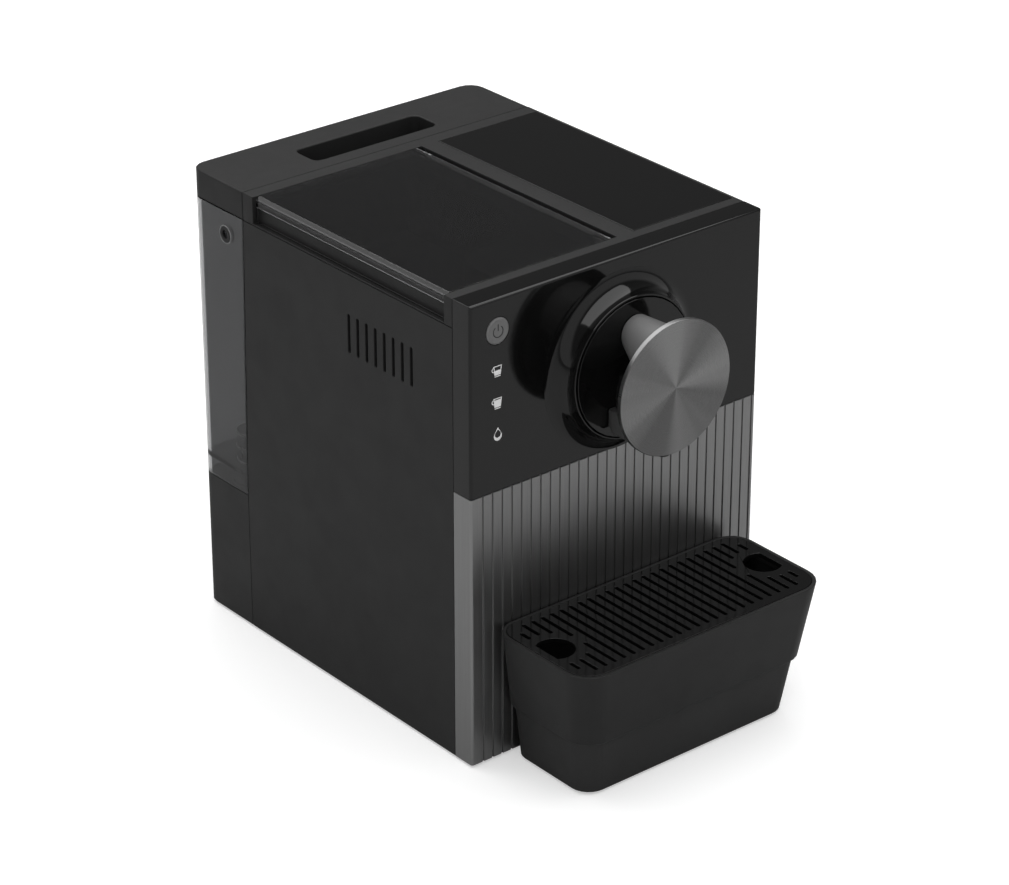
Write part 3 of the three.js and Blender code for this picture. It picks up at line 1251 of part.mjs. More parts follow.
// Foot that carries the tray: a hollow block with a tongue that reaches in over the base plate.
function traySupport() {
  const top = TRAY_SPLIT - FIT;
  const block = trayBlock(TRAY_STEP, FOOT_LIFT, top);
  const hollow = trayBlock(TRAY_STEP + SUPPORT_SKIN, FOOT_LIFT - 1, top - SUPPORT_SKIN);
  const tongueZ = baseTop + FIT;
  const tongueEnd = WALL + FIT + TONGUE_LENGTH;
  const tongue = box(-TONGUE_HALF, TONGUE_HALF, -TRAY_STEP - SUPPORT_SKIN, tongueEnd, tongueZ,
    tongueZ + TONGUE_SKIN);
  const pads = [-PAD_X, PAD_X].map((x) =>
    rodZ(PAD_R, 0, top - SUPPORT_SKIN + 1, x, -TRAY_REACH + 26));
  const screwHoles = [-SCREW_X, SCREW_X].map((x) =>
    rodZ(SCREW_R + FIT, 0, tongueZ + TONGUE_SKIN + 1, x, tongueEnd - 6, 12));
  return cut(join(cut(block, hollow), tongue, ...pads), ...screwHoles);
}

// Screw up through the tongue: its head rests on the tongue, and its shank is in the base plate.
function supportScrew() {
  const seat = baseTop + FIT + TONGUE_SKIN + FIT;
  return turnedZ([
    [0, FOOT_LIFT], [SCREW_R, FOOT_LIFT], [SCREW_R, seat], [SCREW_HEAD_R, seat],
    [SCREW_HEAD_R, seat + 1.2], [SCREW_HEAD_R - 0.8, seat + 2], [0, seat + 2],
  ], 10);
}

// ---------------------------------------------------------------- assembly

piece(machine, 'base_plate', basePlate(), MATT_BLACK);
for (const [name, x, y] of footPlaces()) {
  piece(machine, name, foot(), RUBBER).position.set(x, y, 0);
}
piece(machine, 'front_cover_upper', frontCoverUpper(), GLOSS_BLACK);
piece(machine, 'front_cover_lower', frontCoverLower(), STEEL);
piece(machine, 'side_panel_left', sidePanel(-1), SATIN_BLACK);
piece(machine, 'side_panel_right', sidePanel(1), SATIN_BLACK);
piece(machine, 'rear_housing', rearHousing(), MATT_BLACK);
piece(machine, 'cord_gland', cordGland(), RUBBER);
piece(machine, 'top_frame', topFrame(), SATIN_BLACK);
piece(machine, 'top_panel_right', topPanelRight(), GLOSS_BLACK);
piece(machine, 'capsule_lid', capsuleLid(), TINTED);
piece(machine, 'capsule_bin', capsuleBin(), MATT_BLACK);
const pinMiddle = PIN_LENGTH / 2 - PIN_LENGTH / 3;
piece(machine, 'lid_hinge_pin_front', hingePin(), SPRING_STEEL)
  .position.set(hingeX, openFront + pinMiddle, lidZ);
piece(machine, 'lid_hinge_pin_rear', hingePin(), SPRING_STEEL)
  .position.set(hingeX, openRear - pinMiddle, lidZ);

piece(machine, 'water_tank', waterTank(), SMOKED);
piece(machine, 'tank_lid', tankLid(), SATIN_BLACK);
const valve = new THREE.Group();
valve.position.set(valveX, valveY, tankFloor);
piece(valve, 'tank_valve_cup', valveCup(), SMOKED);
piece(valve, 'tank_valve_plunger', valvePlunger(), WHITE_PLASTIC);
piece(valve, 'tank_valve_washer', valveWasher(), RUBBER);
piece(valve, 'tank_valve_spring', valveSpring(), SPRING_STEEL);
piece(valve, 'tank_socket', tankSocket(), MATT_BLACK);
piece(valve, 'socket_seal', socketSeal(), RUBBER);
machine.add(valve);

const head = new THREE.Group();
head.position.set(0, front, headZ);
piece(head, 'head_collar', headCollar(), GLOSS_BLACK);
piece(head, 'brew_chamber', brewChamber(), MATT_BLACK);
piece(head, 'head_seal', headSeal(), SILICONE);
piece(head, 'needle_plate', needlePlate(), STEEL);
piece(head, 'lock_ring', lockRing(), DARK_GREY);
piece(head, 'pod_holder', podHolder(), GLOSS_BLACK);
piece(head, 'grip_post', postSolid(0), SATIN_GREY);
piece(head, 'coffee_spout', coffeeSpout(), DARK_GREY);
piece(head, 'knob_grip', knobGrip(), GLOSS_BLACK);
piece(head, 'knob_face', knobFace(), STEEL);
machine.add(head);

piece(machine, 'power_button', powerButton(), BUTTON_GREY).position.set(buttonX, 0, buttonZ);
piece(machine, 'button_switch', buttonSwitch(), MATT_BLACK).position.set(buttonX, 0, buttonZ);
piece(machine, 'control_board', controlBoard(), BOARD_GREEN);
piece(machine, 'power_board', powerBoard(), BOARD_GREEN);

piece(machine, 'inner_chassis', innerChassis(), SPRING_STEEL);
piece(machine, 'thermoblock', thermoblock(), CAST_ALUMINIUM);
piece(machine, 'thermostat', thermostat(), BRASS)
  .position.set(blockX[1] - 18, blockFront + 20, 0);
const pump = new THREE.Group();
pump.position.set(pumpX, 0, PUMP_Z);
piece(pump, 'pump', pumpBody(), CAST_ALUMINIUM);
piece(pump, 'pump_cradle', pumpCradle(), WHITE_PLASTIC);
['pump_rubber_front', 'pump_rubber_rear'].forEach((name, i) => {
  piece(pump, name, rubberRing(), RUBBER).position.y = rubberY[i];
});
machine.add(pump);
piece(machine, 'flow_meter', flowMeter(), WHITE_PLASTIC)
  .position.set(meterX, meterY, chassisFoot);
piece(machine, 'hose_socket_to_meter', hoseSocketToMeter(), SILICONE);
piece(machine, 'hose_meter_to_pump', hoseMeterToPump(), SILICONE);
piece(machine, 'hose_pump_to_heater', hosePumpToHeater(), SILICONE);
piece(machine, 'hose_heater_to_head', hoseHeaterToHead(), SILICONE);

const tray = new THREE.Group();
tray.position.set(0, front, 0);
piece(tray, 'tray_support', traySupport(), MATT_BLACK);
piece(tray, 'drip_tray', dripTray(), SATIN_BLACK);
piece(tray, 'drip_grille', dripGrille(), GLOSS_BLACK);
machine.add(tray);
['left', 'right'].forEach((name, i) => {
  piece(machine, `support_screw_${name}`, supportScrew(), SPRING_STEEL)
    .position.set((2 * i - 1) * SCREW_X, front + WALL + FIT + TONGUE_LENGTH - 6, 0);
});

export default machine;
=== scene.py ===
# %% [markdown]
# # A pod coffee machine, finished in Blender
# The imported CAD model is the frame: every piece already has its place and its size. This script
# gives each surface its finish, rounds the edges that a CAD solid leaves sharp, and adds the small
# things that a CAD model leaves out. Lengths are metres, +Z is up, and the front faces -Y.

import json
import math

import bmesh
import bpy
from mathutils import Matrix, Vector


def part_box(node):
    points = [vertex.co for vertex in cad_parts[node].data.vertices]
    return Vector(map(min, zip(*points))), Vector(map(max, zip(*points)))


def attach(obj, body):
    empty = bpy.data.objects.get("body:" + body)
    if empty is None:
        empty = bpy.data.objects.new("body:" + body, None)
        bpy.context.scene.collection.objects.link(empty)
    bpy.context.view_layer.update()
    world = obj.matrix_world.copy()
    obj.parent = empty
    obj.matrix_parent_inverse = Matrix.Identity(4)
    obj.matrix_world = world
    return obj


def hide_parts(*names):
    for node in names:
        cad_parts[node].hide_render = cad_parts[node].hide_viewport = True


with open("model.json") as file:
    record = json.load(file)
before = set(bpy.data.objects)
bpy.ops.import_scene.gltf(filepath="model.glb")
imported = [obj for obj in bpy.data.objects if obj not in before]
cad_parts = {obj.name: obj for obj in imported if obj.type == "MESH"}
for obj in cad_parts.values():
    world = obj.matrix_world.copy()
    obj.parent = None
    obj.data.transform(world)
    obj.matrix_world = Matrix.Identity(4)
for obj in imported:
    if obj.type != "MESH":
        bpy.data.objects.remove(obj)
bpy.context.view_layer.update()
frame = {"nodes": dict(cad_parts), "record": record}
nodes = frame["nodes"]
slot_of = {row["node"]: row["material_slot"] for row in frame["record"]["subparts"]}
body_of = {name: body for body, names in frame["record"]["behaviour"]["bodies"].items()
           for name in names}
MM = 0.001


# %% [markdown]
# ## Camera
# A product view from the front left and a little above. A long lens keeps the upright edges nearly
# parallel. The camera is placed by its aim point, its two angles and its distance, which is easier
# to reason about than a raw position and rotation.

# %% Camera
AIM = Vector((-0.03954, -0.03902, 0.14841))
AZIMUTH = math.radians(39.519)
ELEVATION = math.radians(26.605)
DISTANCE = 1.76
LENS = 127.85
SENSOR = 36
FARTHEST = 50

scene = bpy.context.scene


def linked(name, data):
    """A new object with this data, in the scene."""
    obj = bpy.data.objects.new(name, data)
    scene.collection.objects.link(obj)
    return obj


looking = Vector((math.sin(AZIMUTH) * math.cos(ELEVATION),
                  math.cos(AZIMUTH) * math.cos(ELEVATION),
                  -math.sin(ELEVATION)))
camera_data = bpy.data.cameras.new("view")
camera_data.lens = LENS
camera_data.sensor_width = SENSOR
camera_data.clip_end = FARTHEST
camera = linked("view", camera_data)
camera.location = AIM - looking * DISTANCE
camera.rotation_euler = looking.to_track_quat("-Z", "Y").to_euler()
scene.camera = camera
scene.view_settings.view_transform = "Standard"
print("camera at", [round(v, 4) for v in camera.location])


# %% [markdown]
# ## Studio
# A black product needs something pale to reflect, but not too much of it. The world is white to the
# camera and through clear plastic. A polished surface sees a pale horizon that fades upwards, as it
# would between the dark flags of a studio, and this keeps the top from washing out. Towards the
# front the pale band reaches higher, so the upright front panel keeps an even sheen. A real
# studio's light could be wrapped round as an environment map, but a few nodes do it without a file,
# and each of their numbers can be turned on its own. The floor keeps the object's shadow.

# %% Node helpers
def link(tree, source, target):
    tree.links.new(source, target)


def math_node(tree, operation, *inputs):
    """A Math node. Each input is a number or another node's socket."""
    node = tree.nodes.new("ShaderNodeMath")
    node.operation = operation
    for slot, value in zip(node.inputs, inputs):
        if isinstance(value, (int, float)):
            slot.default_value = value
        else:
            link(tree, value, slot)
    return node.outputs[0]


def between(tree, factor, low, high, start=0.3, end=0.7):
    """A number that runs from low to high as the factor runs from start to end."""
    node = tree.nodes.new("ShaderNodeMapRange")
    for socket, value in zip(("From Min", "From Max", "To Min", "To Max"), (start, end, low, high)):
        node.inputs[socket].default_value = value
    link(tree, factor, node.inputs["Value"])
    return node.outputs[0]


def eased(tree, factor, low, high, start, end):
    """The same, with a soft start and a soft end."""
    number = between(tree, factor, low, high, start, end)
    number.node.interpolation_type = "SMOOTHSTEP"
    return number


# %% World
GLOSS_HORIZON = 0.5
GLOSS_ABOVE = 0.10
BAND_HEIGHT = 0.28
FRONT_LIFT = 0.6
FILL_LEVEL = 0.25

world = bpy.data.worlds.new("studio")
scene.world = world
world.use_nodes = True
sky = world.node_tree
background = sky.nodes["Background"]
background.inputs["Color"].default_value = (1, 1, 1, 1)
path = sky.nodes.new("ShaderNodeLightPath")
direction = sky.nodes.new("ShaderNodeSeparateXYZ")
link(sky, sky.nodes.new("ShaderNodeTexCoord").outputs["Generated"], direction.inputs[0])
forward = math_node(sky, "MINIMUM", direction.outputs["Y"], 0.0)
height = math_node(sky, "ADD", direction.outputs["Z"],
                   math_node(sky, "MULTIPLY", forward, FRONT_LIFT))
glossy = eased(sky, height, GLOSS_HORIZON, GLOSS_ABOVE, 0.0, BAND_HEIGHT)
seen = math_node(sky, "MAXIMUM", path.outputs["Is Camera Ray"], path.outputs["Is Transmission Ray"])
polished = math_node(sky, "MULTIPLY", path.outputs["Is Glossy Ray"],
                     math_node(sky, "SUBTRACT", glossy, FILL_LEVEL))
plain = math_node(sky, "MULTIPLY", seen, 1 - FILL_LEVEL)
level = math_node(sky, "ADD", math_node(sky, "ADD", plain, polished), FILL_LEVEL)
link(sky, level, background.inputs["Strength"])
print("world:", len(sky.nodes), "nodes")


# %% Floor
FLOOR_REACH = 6.0
FLOOR_TONE = 0.8
GLOSS_DROP = 0.35
NEAR_GLOW, FAR_GLOW = 0.42, 1.0
GLOW_START, GLOW_FULL = 0.6, 1.8


def stage_floor():
    """A wide pale floor with the object's shadow on it, and a darker one to gloss. Far off, where
    the lamps don't reach, it glows white to the camera, and meets the world without a horizon."""
    mesh = bpy.data.meshes.new("floor")
    corners = ((-1, -1), (1, -1), (1, 1), (-1, 1))
    mesh.from_pydata([(x * FLOOR_REACH, y * FLOOR_REACH, 0) for x, y in corners], [],
                     [(0, 1, 2, 3)])
    floor = linked("floor", mesh)
    material = bpy.data.materials.new("pale_floor")
    material.use_nodes = True
    tree = material.node_tree
    tree.nodes.clear()
    rays = tree.nodes.new("ShaderNodeLightPath")
    matt = tree.nodes.new("ShaderNodeBsdfDiffuse")
    tone = math_node(tree, "SUBTRACT", FLOOR_TONE,
                     math_node(tree, "MULTIPLY", rays.outputs["Is Glossy Ray"], GLOSS_DROP))
    shade = tree.nodes.new("ShaderNodeCombineColor")
    for channel in shade.inputs:
        link(tree, tone, channel)
    link(tree, shade.outputs[0], matt.inputs["Color"])
    glow = tree.nodes.new("ShaderNodeEmission")
    clear = math_node(tree, "MAXIMUM", rays.outputs["Is Camera Ray"],
                      rays.outputs["Is Transmission Ray"])
    away = tree.nodes.new("ShaderNodeVectorMath")
    away.operation = "LENGTH"
    link(tree, tree.nodes.new("ShaderNodeTexCoord").outputs["Object"], away.inputs[0])
    far = eased(tree, away.outputs["Value"], NEAR_GLOW, FAR_GLOW, GLOW_START, GLOW_FULL)
    link(tree, math_node(tree, "MULTIPLY", clear, far), glow.inputs["Strength"])
    both = tree.nodes.new("ShaderNodeAddShader")
    link(tree, matt.outputs[0], both.inputs[0])
    link(tree, glow.outputs[0], both.inputs[1])
    link(tree, both.outputs[0], tree.nodes.new("ShaderNodeOutputMaterial").inputs["Surface"])
    mesh.materials.append(material)


stage_floor()
print("floor:", 2 * FLOOR_REACH, "m wide")


# %% [markdown]
# ## Lamps
# Four soft boxes. The wide one overhead does most of the work: it lifts the top faces above the
# sides, and the round collar mirrors its corner as a bright crescent. One high behind gives the
# line of light along the lid's bevelled edge: a mirror at 45 degrees there looks straight at it.
# Two weak ones open the left and the right side, and gloss doesn't show them. Area lamps were
# chosen, because a point lamp or a sun would draw hard shadows and small hot spots.

# %% Lamps
def softbox(name, place, aim, width, height, watts, mirrored=False):
    """An area lamp of that size, turned to face its aim point. Gloss shows it if it is mirrored."""
    data = bpy.data.lights.new(name, "AREA")
    data.shape = "RECTANGLE"
    data.size = width
    data.size_y = height
    data.energy = watts
    lamp = linked(name, data)
    lamp.location = Vector(place)
    lamp.rotation_euler = (Vector(aim) - Vector(place)).to_track_quat("-Z", "Y").to_euler()
    lamp.visible_glossy = mirrored


MIDDLE = (0.0, -0.02, 0.15)
softbox("top_softbox", (0.12, 0.3, 1.65), (0.12, 0.3, 0.0), 2.25, 3.2, 39, mirrored=True)
softbox("back_softbox", (-1.3, 1.75, 1.6), MIDDLE, 1.0, 0.8, 4, mirrored=True)
softbox("left_softbox", (-1.5, -1.2, 0.9), MIDDLE, 0.8, 0.8, 5)
softbox("right_softbox", (1.4, -0.9, 0.7), MIDDLE, 0.8, 0.8, 2)


# %% [markdown]
# ## Finishes
# Every finish is procedural: noise on Object coordinates varies the colour and the roughness a
# little, and a finer noise drives a bump, so no surface is a single flat value. Painted textures
# would need the pieces unwrapped first, and noise in space needs no seams at all. What is the same
# all over, such as the index of refraction, is typed on the shader itself.

# %% Finish helpers
def new_finish(name, roughness, metallic=0.0, ior=1.5, **extra):
    """A material with its Principled shader, and the coordinates that its patterns read."""
    material = bpy.data.materials.new(name)
    material.use_nodes = True
    tree = material.node_tree
    shader = tree.nodes["Principled BSDF"]
    shader.inputs["Roughness"].default_value = roughness
    shader.inputs["Metallic"].default_value = metallic
    shader.inputs["IOR"].default_value = ior
    for socket, value in extra.items():
        shader.inputs[socket.replace("_", " ")].default_value = value
    spot = tree.nodes.new("ShaderNodeTexCoord").outputs["Object"]
    return material, tree, shader, spot


def stretched(tree, spot, scale):
    """Coordinates scaled by a factor for each axis, for patterns with a direction."""
    mapping = tree.nodes.new("ShaderNodeMapping")
    mapping.inputs["Scale"].default_value = scale
    link(tree, spot, mapping.inputs["Vector"])
    return mapping.outputs[0]


def noise(tree, spot, scale, detail, rough=0.5):
    """A Noise node's grey value. The scale counts its lumps in a metre."""
    node = tree.nodes.new("ShaderNodeTexNoise")
    node.inputs["Scale"].default_value = scale
    node.inputs["Detail"].default_value = detail
    node.inputs["Roughness"].default_value = rough
    link(tree, spot, node.inputs["Vector"])
    return node.outputs["Fac"]


def vary_colour(tree, shader, factor, dark, light):
    """Mixes two colours by a factor into the base colour."""
    mix = tree.nodes.new("ShaderNodeMix")
    mix.data_type = "RGBA"
    mix.inputs["A"].default_value = (*dark, 1)
    mix.inputs["B"].default_value = (*light, 1)
    link(tree, factor, mix.inputs["Factor"])
    link(tree, mix.outputs["Result"], shader.inputs["Base Color"])


def bump(tree, shader, height, depth, strength=1.0):
    """Tilts the shading as if the surface were this deep, in metres, where the height is 1."""
    node = tree.nodes.new("ShaderNodeBump")
    node.inputs["Distance"].default_value = depth
    node.inputs["Strength"].default_value = strength
    link(tree, height, node.inputs["Height"])
    link(tree, node.outputs[0], shader.inputs["Normal"])


def shades(grey, spread, tint=(1.0, 1.0, 1.0)):
    """A darker and a lighter version of one colour."""
    return ([grey * t * (1 - spread) for t in tint], [grey * t * (1 + spread) for t in tint])


# %% [markdown]
# ### Moulded plastics
# Injection moulded covers have a fine spark-eroded grain about a third of a millimetre wide, and
# broad faint clouds where the melt flowed. Two noises, one fine and one coarse, are that. Polished
# plastic has neither grain nor clouds to speak of: mostly its gloss wanders, where it was wiped.

# %% Moulded plastics
def moulded(name, grey, roughness, grain=0.00004, tint=(1.0, 1.0, 1.0), **extra):
    material, tree, shader, spot = new_finish(name, roughness, **extra)
    clouds = noise(tree, spot, 14, 3)
    speckle = noise(tree, spot, 2600, 1)
    vary_colour(tree, shader, between(tree, clouds, 0, 1), *shades(grey, 0.07, tint))
    link(tree, between(tree, noise(tree, spot, 60, 2), roughness - 0.04, roughness + 0.05),
         shader.inputs["Roughness"])
    bump(tree, shader, speckle, grain)
    return material


def polished_plastic(name, grey, roughness, **extra):
    material, tree, shader, spot = new_finish(name, roughness, **extra)
    clouds = noise(tree, spot, 6, 2)
    wiped = noise(tree, stretched(tree, spot, (9, 9, 30)), 1, 4, 0.6)
    vary_colour(tree, shader, between(tree, clouds, 0, 1), *shades(grey, 0.06))
    link(tree, between(tree, wiped, roughness, roughness + 0.05), shader.inputs["Roughness"])
    bump(tree, shader, noise(tree, spot, 25, 1), 0.00003, 0.25)
    return material


finishes = {
    "satin_black": moulded("satin_black_plastic", 0.017, 0.42, Specular_IOR_Level=0.28),
    "matt_black": moulded("matt_black_plastic", 0.024, 0.55, Specular_IOR_Level=0.32),
    "dark_grey": moulded("dark_grey_plastic", 0.035, 0.4),
    "white_plastic": moulded("white_plastic", 0.72, 0.45, tint=(1, 0.985, 0.95)),
    "gloss_black": polished_plastic("gloss_black_plastic", 0.0045, 0.05, Specular_IOR_Level=0.5),
}
print("plastics:", sorted(finishes))


# %% [markdown]
# ### Metals
# Brushed steel is drawn over an abrasive belt, so its scratches run one way: noise stretched along
# the scratch gives the colour streaks, the gloss and the bump. The disc is spun instead, so its
# scratches are circles about its own axis, which noise on the radius draws. A spun face also shows
# soft fans of light. A plain anisotropic shader gives two narrow ones, so four broad ones are
# painted into the colour as a sine of the angle: painted highlights. Noise on the angle paints
# more, uneven fans of light, and the sine of the angle paints the top of the disc lighter, as
# painted light from above. Cast and painted metals have a skin, not a grain.

# %% Brushed metal
def brushed(name, grey, roughness, along, anisotropy=0.5):
    """Brushed metal. The scale along the scratches is small, and across them large."""
    material, tree, shader, spot = new_finish(name, roughness, metallic=1.0)
    shader.inputs["Anisotropic"].default_value = anisotropy
    scratches = noise(tree, stretched(tree, spot, along), 1, 4, 0.7)
    vary_colour(tree, shader, between(tree, scratches, 0, 1), *shades(grey, 0.1))
    link(tree, between(tree, scratches, roughness - 0.05, roughness + 0.07),
         shader.inputs["Roughness"])
    bump(tree, shader, scratches, 0.00002, 0.6)
    return material


# %% Spun metal
# Painted light on the spun disc: four painted highlight fans, uneven painted fans and a painted
# lighter top, all in the colour.
PAINTED_FANS = 4
PAINTED_FAN_TURN = 0.73
PAINTED_FAN_SHARE, PAINTED_TOP_LIGHT_SHARE = 0.2, 0.15
RING_SHARE, UNEVEN_PAINTED_FAN_SHARE = 0.2, 0.8
RINGS_IN_A_METRE = 9000


def squared(tree, value):
    return math_node(tree, "MULTIPLY", value, value)


def spun(name, grey, roughness, centre):
    """Metal turned on a lathe about an axis along Y: circles, with fan-shaped painted highlights
    and a painted lighter top.
    """
    material, tree, shader, spot = new_finish(name, roughness, metallic=1.0)
    shader.inputs["Anisotropic"].default_value = 0.85
    tangent = tree.nodes.new("ShaderNodeTangent")
    tangent.direction_type = "RADIAL"
    tangent.axis = "Y"
    link(tree, tangent.outputs[0], shader.inputs["Tangent"])
    middle = tree.nodes.new("ShaderNodeMapping")
    middle.inputs["Location"].default_value = (-centre[0], 0, -centre[2])
    link(tree, spot, middle.inputs["Vector"])
    parts = tree.nodes.new("ShaderNodeSeparateXYZ")
    link(tree, middle.outputs[0], parts.inputs[0])
    x, z = parts.outputs["X"], parts.outputs["Z"]
    radius = math_node(tree, "SQRT", math_node(tree, "ADD", squared(tree, x), squared(tree, z)))
    angle = math_node(tree, "ARCTAN2", z, x)
    upward = math_node(tree, "SINE", angle)
    rings = tree.nodes.new("ShaderNodeCombineXYZ")
    link(tree, math_node(tree, "MULTIPLY", radius, RINGS_IN_A_METRE), rings.inputs["X"])
    link(tree, upward, rings.inputs["Y"])
    turning = noise(tree, rings.outputs[0], 1, 3, 0.6)
    # Noise on the angle paints uneven fans of light: painted highlights.
    around = tree.nodes.new("ShaderNodeCombineXYZ")
    link(tree, math_node(tree, "COSINE", angle), around.inputs["X"])
    link(tree, upward, around.inputs["Y"])
    uneven_painted_fans = noise(tree, around.outputs[0], 1.7, 2, 0.5)
    # Four painted highlight fans by the sine of the angle, plus the top painted lighter by the sine
    # of the angle.
    painted_fans = math_node(tree, "SINE", math_node(tree, "MULTIPLY_ADD", angle, PAINTED_FANS, PAINTED_FAN_TURN))
    wide = math_node(tree, "MULTIPLY_ADD", painted_fans, PAINTED_FAN_SHARE,
                     math_node(tree, "MULTIPLY", upward, PAINTED_TOP_LIGHT_SHARE))
    fine = math_node(tree, "MULTIPLY_ADD", turning, RING_SHARE,
                     math_node(tree, "MULTIPLY", uneven_painted_fans, UNEVEN_PAINTED_FAN_SHARE))
    both = math_node(tree, "ADD", wide, fine)
    # The colour mixes the real turning rings with the painted highlights and the painted lighter
    # top.
    vary_colour(tree, shader, between(tree, both, 0, 1, 0.2, 0.8), *shades(grey, 0.35))
    link(tree, between(tree, turning, roughness - 0.04, roughness + 0.05),
         shader.inputs["Roughness"])
    bump(tree, shader, turning, 0.00001, 0.4)
    return material


# %% Cast and painted metal
def cast(name, grey, roughness, tint=(1.0, 1.0, 1.0)):
    """A cast or painted metal: a coarse skin with soft stains."""
    material, tree, shader, spot = new_finish(name, roughness, metallic=1.0)
    stains = noise(tree, spot, 35, 4, 0.6)
    vary_colour(tree, shader, between(tree, stains, 0, 1), *shades(grey, 0.18, tint))
    link(tree, between(tree, stains, roughness + 0.08, roughness - 0.05),
         shader.inputs["Roughness"])
    bump(tree, shader, noise(tree, spot, 900, 2), 0.00006, 0.7)
    return material


def satin_paint(name, grey, roughness, metallic):
    """Satin metallic paint: very fine flakes under an even skin."""
    material, tree, shader, spot = new_finish(name, roughness, metallic=metallic)
    flakes = noise(tree, spot, 5200, 1)
    vary_colour(tree, shader, between(tree, flakes, 0, 1), *shades(grey, 0.06))
    link(tree, between(tree, noise(tree, spot, 40, 2), roughness - 0.03, roughness + 0.04),
         shader.inputs["Roughness"])
    bump(tree, shader, flakes, 0.00001, 0.3)
    return material


knob_low, knob_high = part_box("knob_face")
head_axis = (knob_low + knob_high) / 2
finishes.update({
    "ribbed_steel": brushed("ribbed_steel", 0.36, 0.36, (2600, 2600, 14)),
    # The disc's spun steel carries painted highlights and a painted lighter top in its colour.
    "spun_steel": spun("spun_steel", 0.265, 0.28, head_axis),
    "folded_steel": brushed("folded_steel", 0.5, 0.35, (30, 900, 900), anisotropy=0.2),
    "steel_pin": brushed("steel_pin", 0.6, 0.22, (1500, 20, 1500), anisotropy=0.2),
    "cast_aluminium": cast("cast_aluminium", 0.5, 0.45),
    "brass": cast("plain_brass", 1.0, 0.3, tint=(0.55, 0.4, 0.16)),
    "satin_grey": satin_paint("satin_grey_paint", 0.14, 0.4, 0.0),
    "button_grey": satin_paint("button_grey_paint", 0.165, 0.36, 0.1),
})
print("spun steel turns about", [round(v, 4) for v in head_axis])


# %% [markdown]
# ### Clear plastics
# The tank and the lid are clear mouldings with a dark tint. Real transmission is used, so that the
# walls bend what lies behind them. The tint is the base colour, and the light loses some of it at
# each face that it crosses. Near the tank's rear corners the tint is painted much paler: a painted
# brightness that stands in for the white of the room seen through the corners. Two fades, one by
# |x| and one by y, are multiplied.

# %% Clear plastics
# Painted brightness at the tank's rear corners: the pale tint and the width of its fade.
PAINTED_PALE_TINT = 0.74
PAINTED_PALE_FADE = 0.0004


def clear_plastic(name, tint, roughness, ior, clear=1.0, painted_pale_corner=None):
    """Tinted clear plastic. Past the pale corner's |x| and y, in metres, the tint is painted pale.
    """
    material, tree, shader, spot = new_finish(name, roughness, ior=ior, Transmission_Weight=clear)
    haze = noise(tree, spot, 18, 3)
    vary_colour(tree, shader, between(tree, haze, 0, 1), *shades(1.0, 0.03, tint))
    # Painted brightness: past the corner's limits the tint fades to a pale one, for the white seen
    # through the corners.
    if painted_pale_corner:
        parts = tree.nodes.new("ShaderNodeSeparateXYZ")
        link(tree, spot, parts.inputs[0])
        sideways = math_node(tree, "ABSOLUTE", parts.outputs["X"])
        painted_pale_fades = [between(tree, where, 0, 1, limit, limit + PAINTED_PALE_FADE)
                 for where, limit in zip((sideways, parts.outputs["Y"]), painted_pale_corner)]
        tinted = shader.inputs["Base Color"].links[0].from_socket
        mix = tree.nodes.new("ShaderNodeMix")
        mix.data_type = "RGBA"
        mix.inputs["B"].default_value = (PAINTED_PALE_TINT, PAINTED_PALE_TINT, PAINTED_PALE_TINT, 1)
        link(tree, math_node(tree, "MULTIPLY", *painted_pale_fades), mix.inputs["Factor"])
        link(tree, tinted, mix.inputs["A"])
        link(tree, mix.outputs["Result"], shader.inputs["Base Color"])
    link(tree, between(tree, haze, roughness, roughness + 0.02), shader.inputs["Roughness"])
    bump(tree, shader, noise(tree, spot, 30, 1), 0.00002, 0.2)
    return material


tank_low, tank_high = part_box("water_tank")
finishes.update({
    # The tank's tint, painted paler near its rear corners as painted brightness.
    "smoked_clear": clear_plastic("smoked_clear_plastic", (0.19, 0.192, 0.196), 0.015, 1.49,
                                  painted_pale_corner=(tank_high.x - 0.007, tank_high.y - 0.0073)),
    "tinted_clear": clear_plastic("tinted_clear_plastic", (0.097, 0.097, 0.099), 0.02, 1.46),
})
print("clear:", [name for name in finishes if name.endswith("clear")])


# %% [markdown]
# ### Rubber, silicone and circuit boards
# Rubber is dull and a little dusty, so its colour and gloss share one noise. Silicone hose is milky
# and lets some light into itself, which Subsurface does. The boards are green lacquer over copper
# tracks. A brick pattern, laid at a slant, gives the tracks: real ones could be drawn as curves,
# but the boards are hidden inside, and a pattern is enough there.

# %% Rubber, silicone, boards
def rubber(name, grey):
    material, tree, shader, spot = new_finish(name, 0.8)
    dust = noise(tree, spot, 220, 4, 0.7)
    vary_colour(tree, shader, between(tree, dust, 0, 1, 0.45, 0.8), *shades(grey, 0.25))
    link(tree, between(tree, dust, 0.72, 0.9), shader.inputs["Roughness"])
    bump(tree, shader, noise(tree, spot, 1500, 2), 0.00008, 0.6)
    return material


def silicone(name):
    material, tree, shader, spot = new_finish(name, 0.35, Subsurface_Weight=0.25)
    shader.inputs["Subsurface Radius"].default_value = (0.004, 0.003, 0.002)
    shader.inputs["Subsurface Scale"].default_value = 1.0
    milky = noise(tree, spot, 70, 3)
    vary_colour(tree, shader, between(tree, milky, 0, 1), (0.55, 0.53, 0.47), (0.68, 0.65, 0.58))
    link(tree, between(tree, milky, 0.3, 0.45), shader.inputs["Roughness"])
    bump(tree, shader, milky, 0.00005, 0.4)
    return material


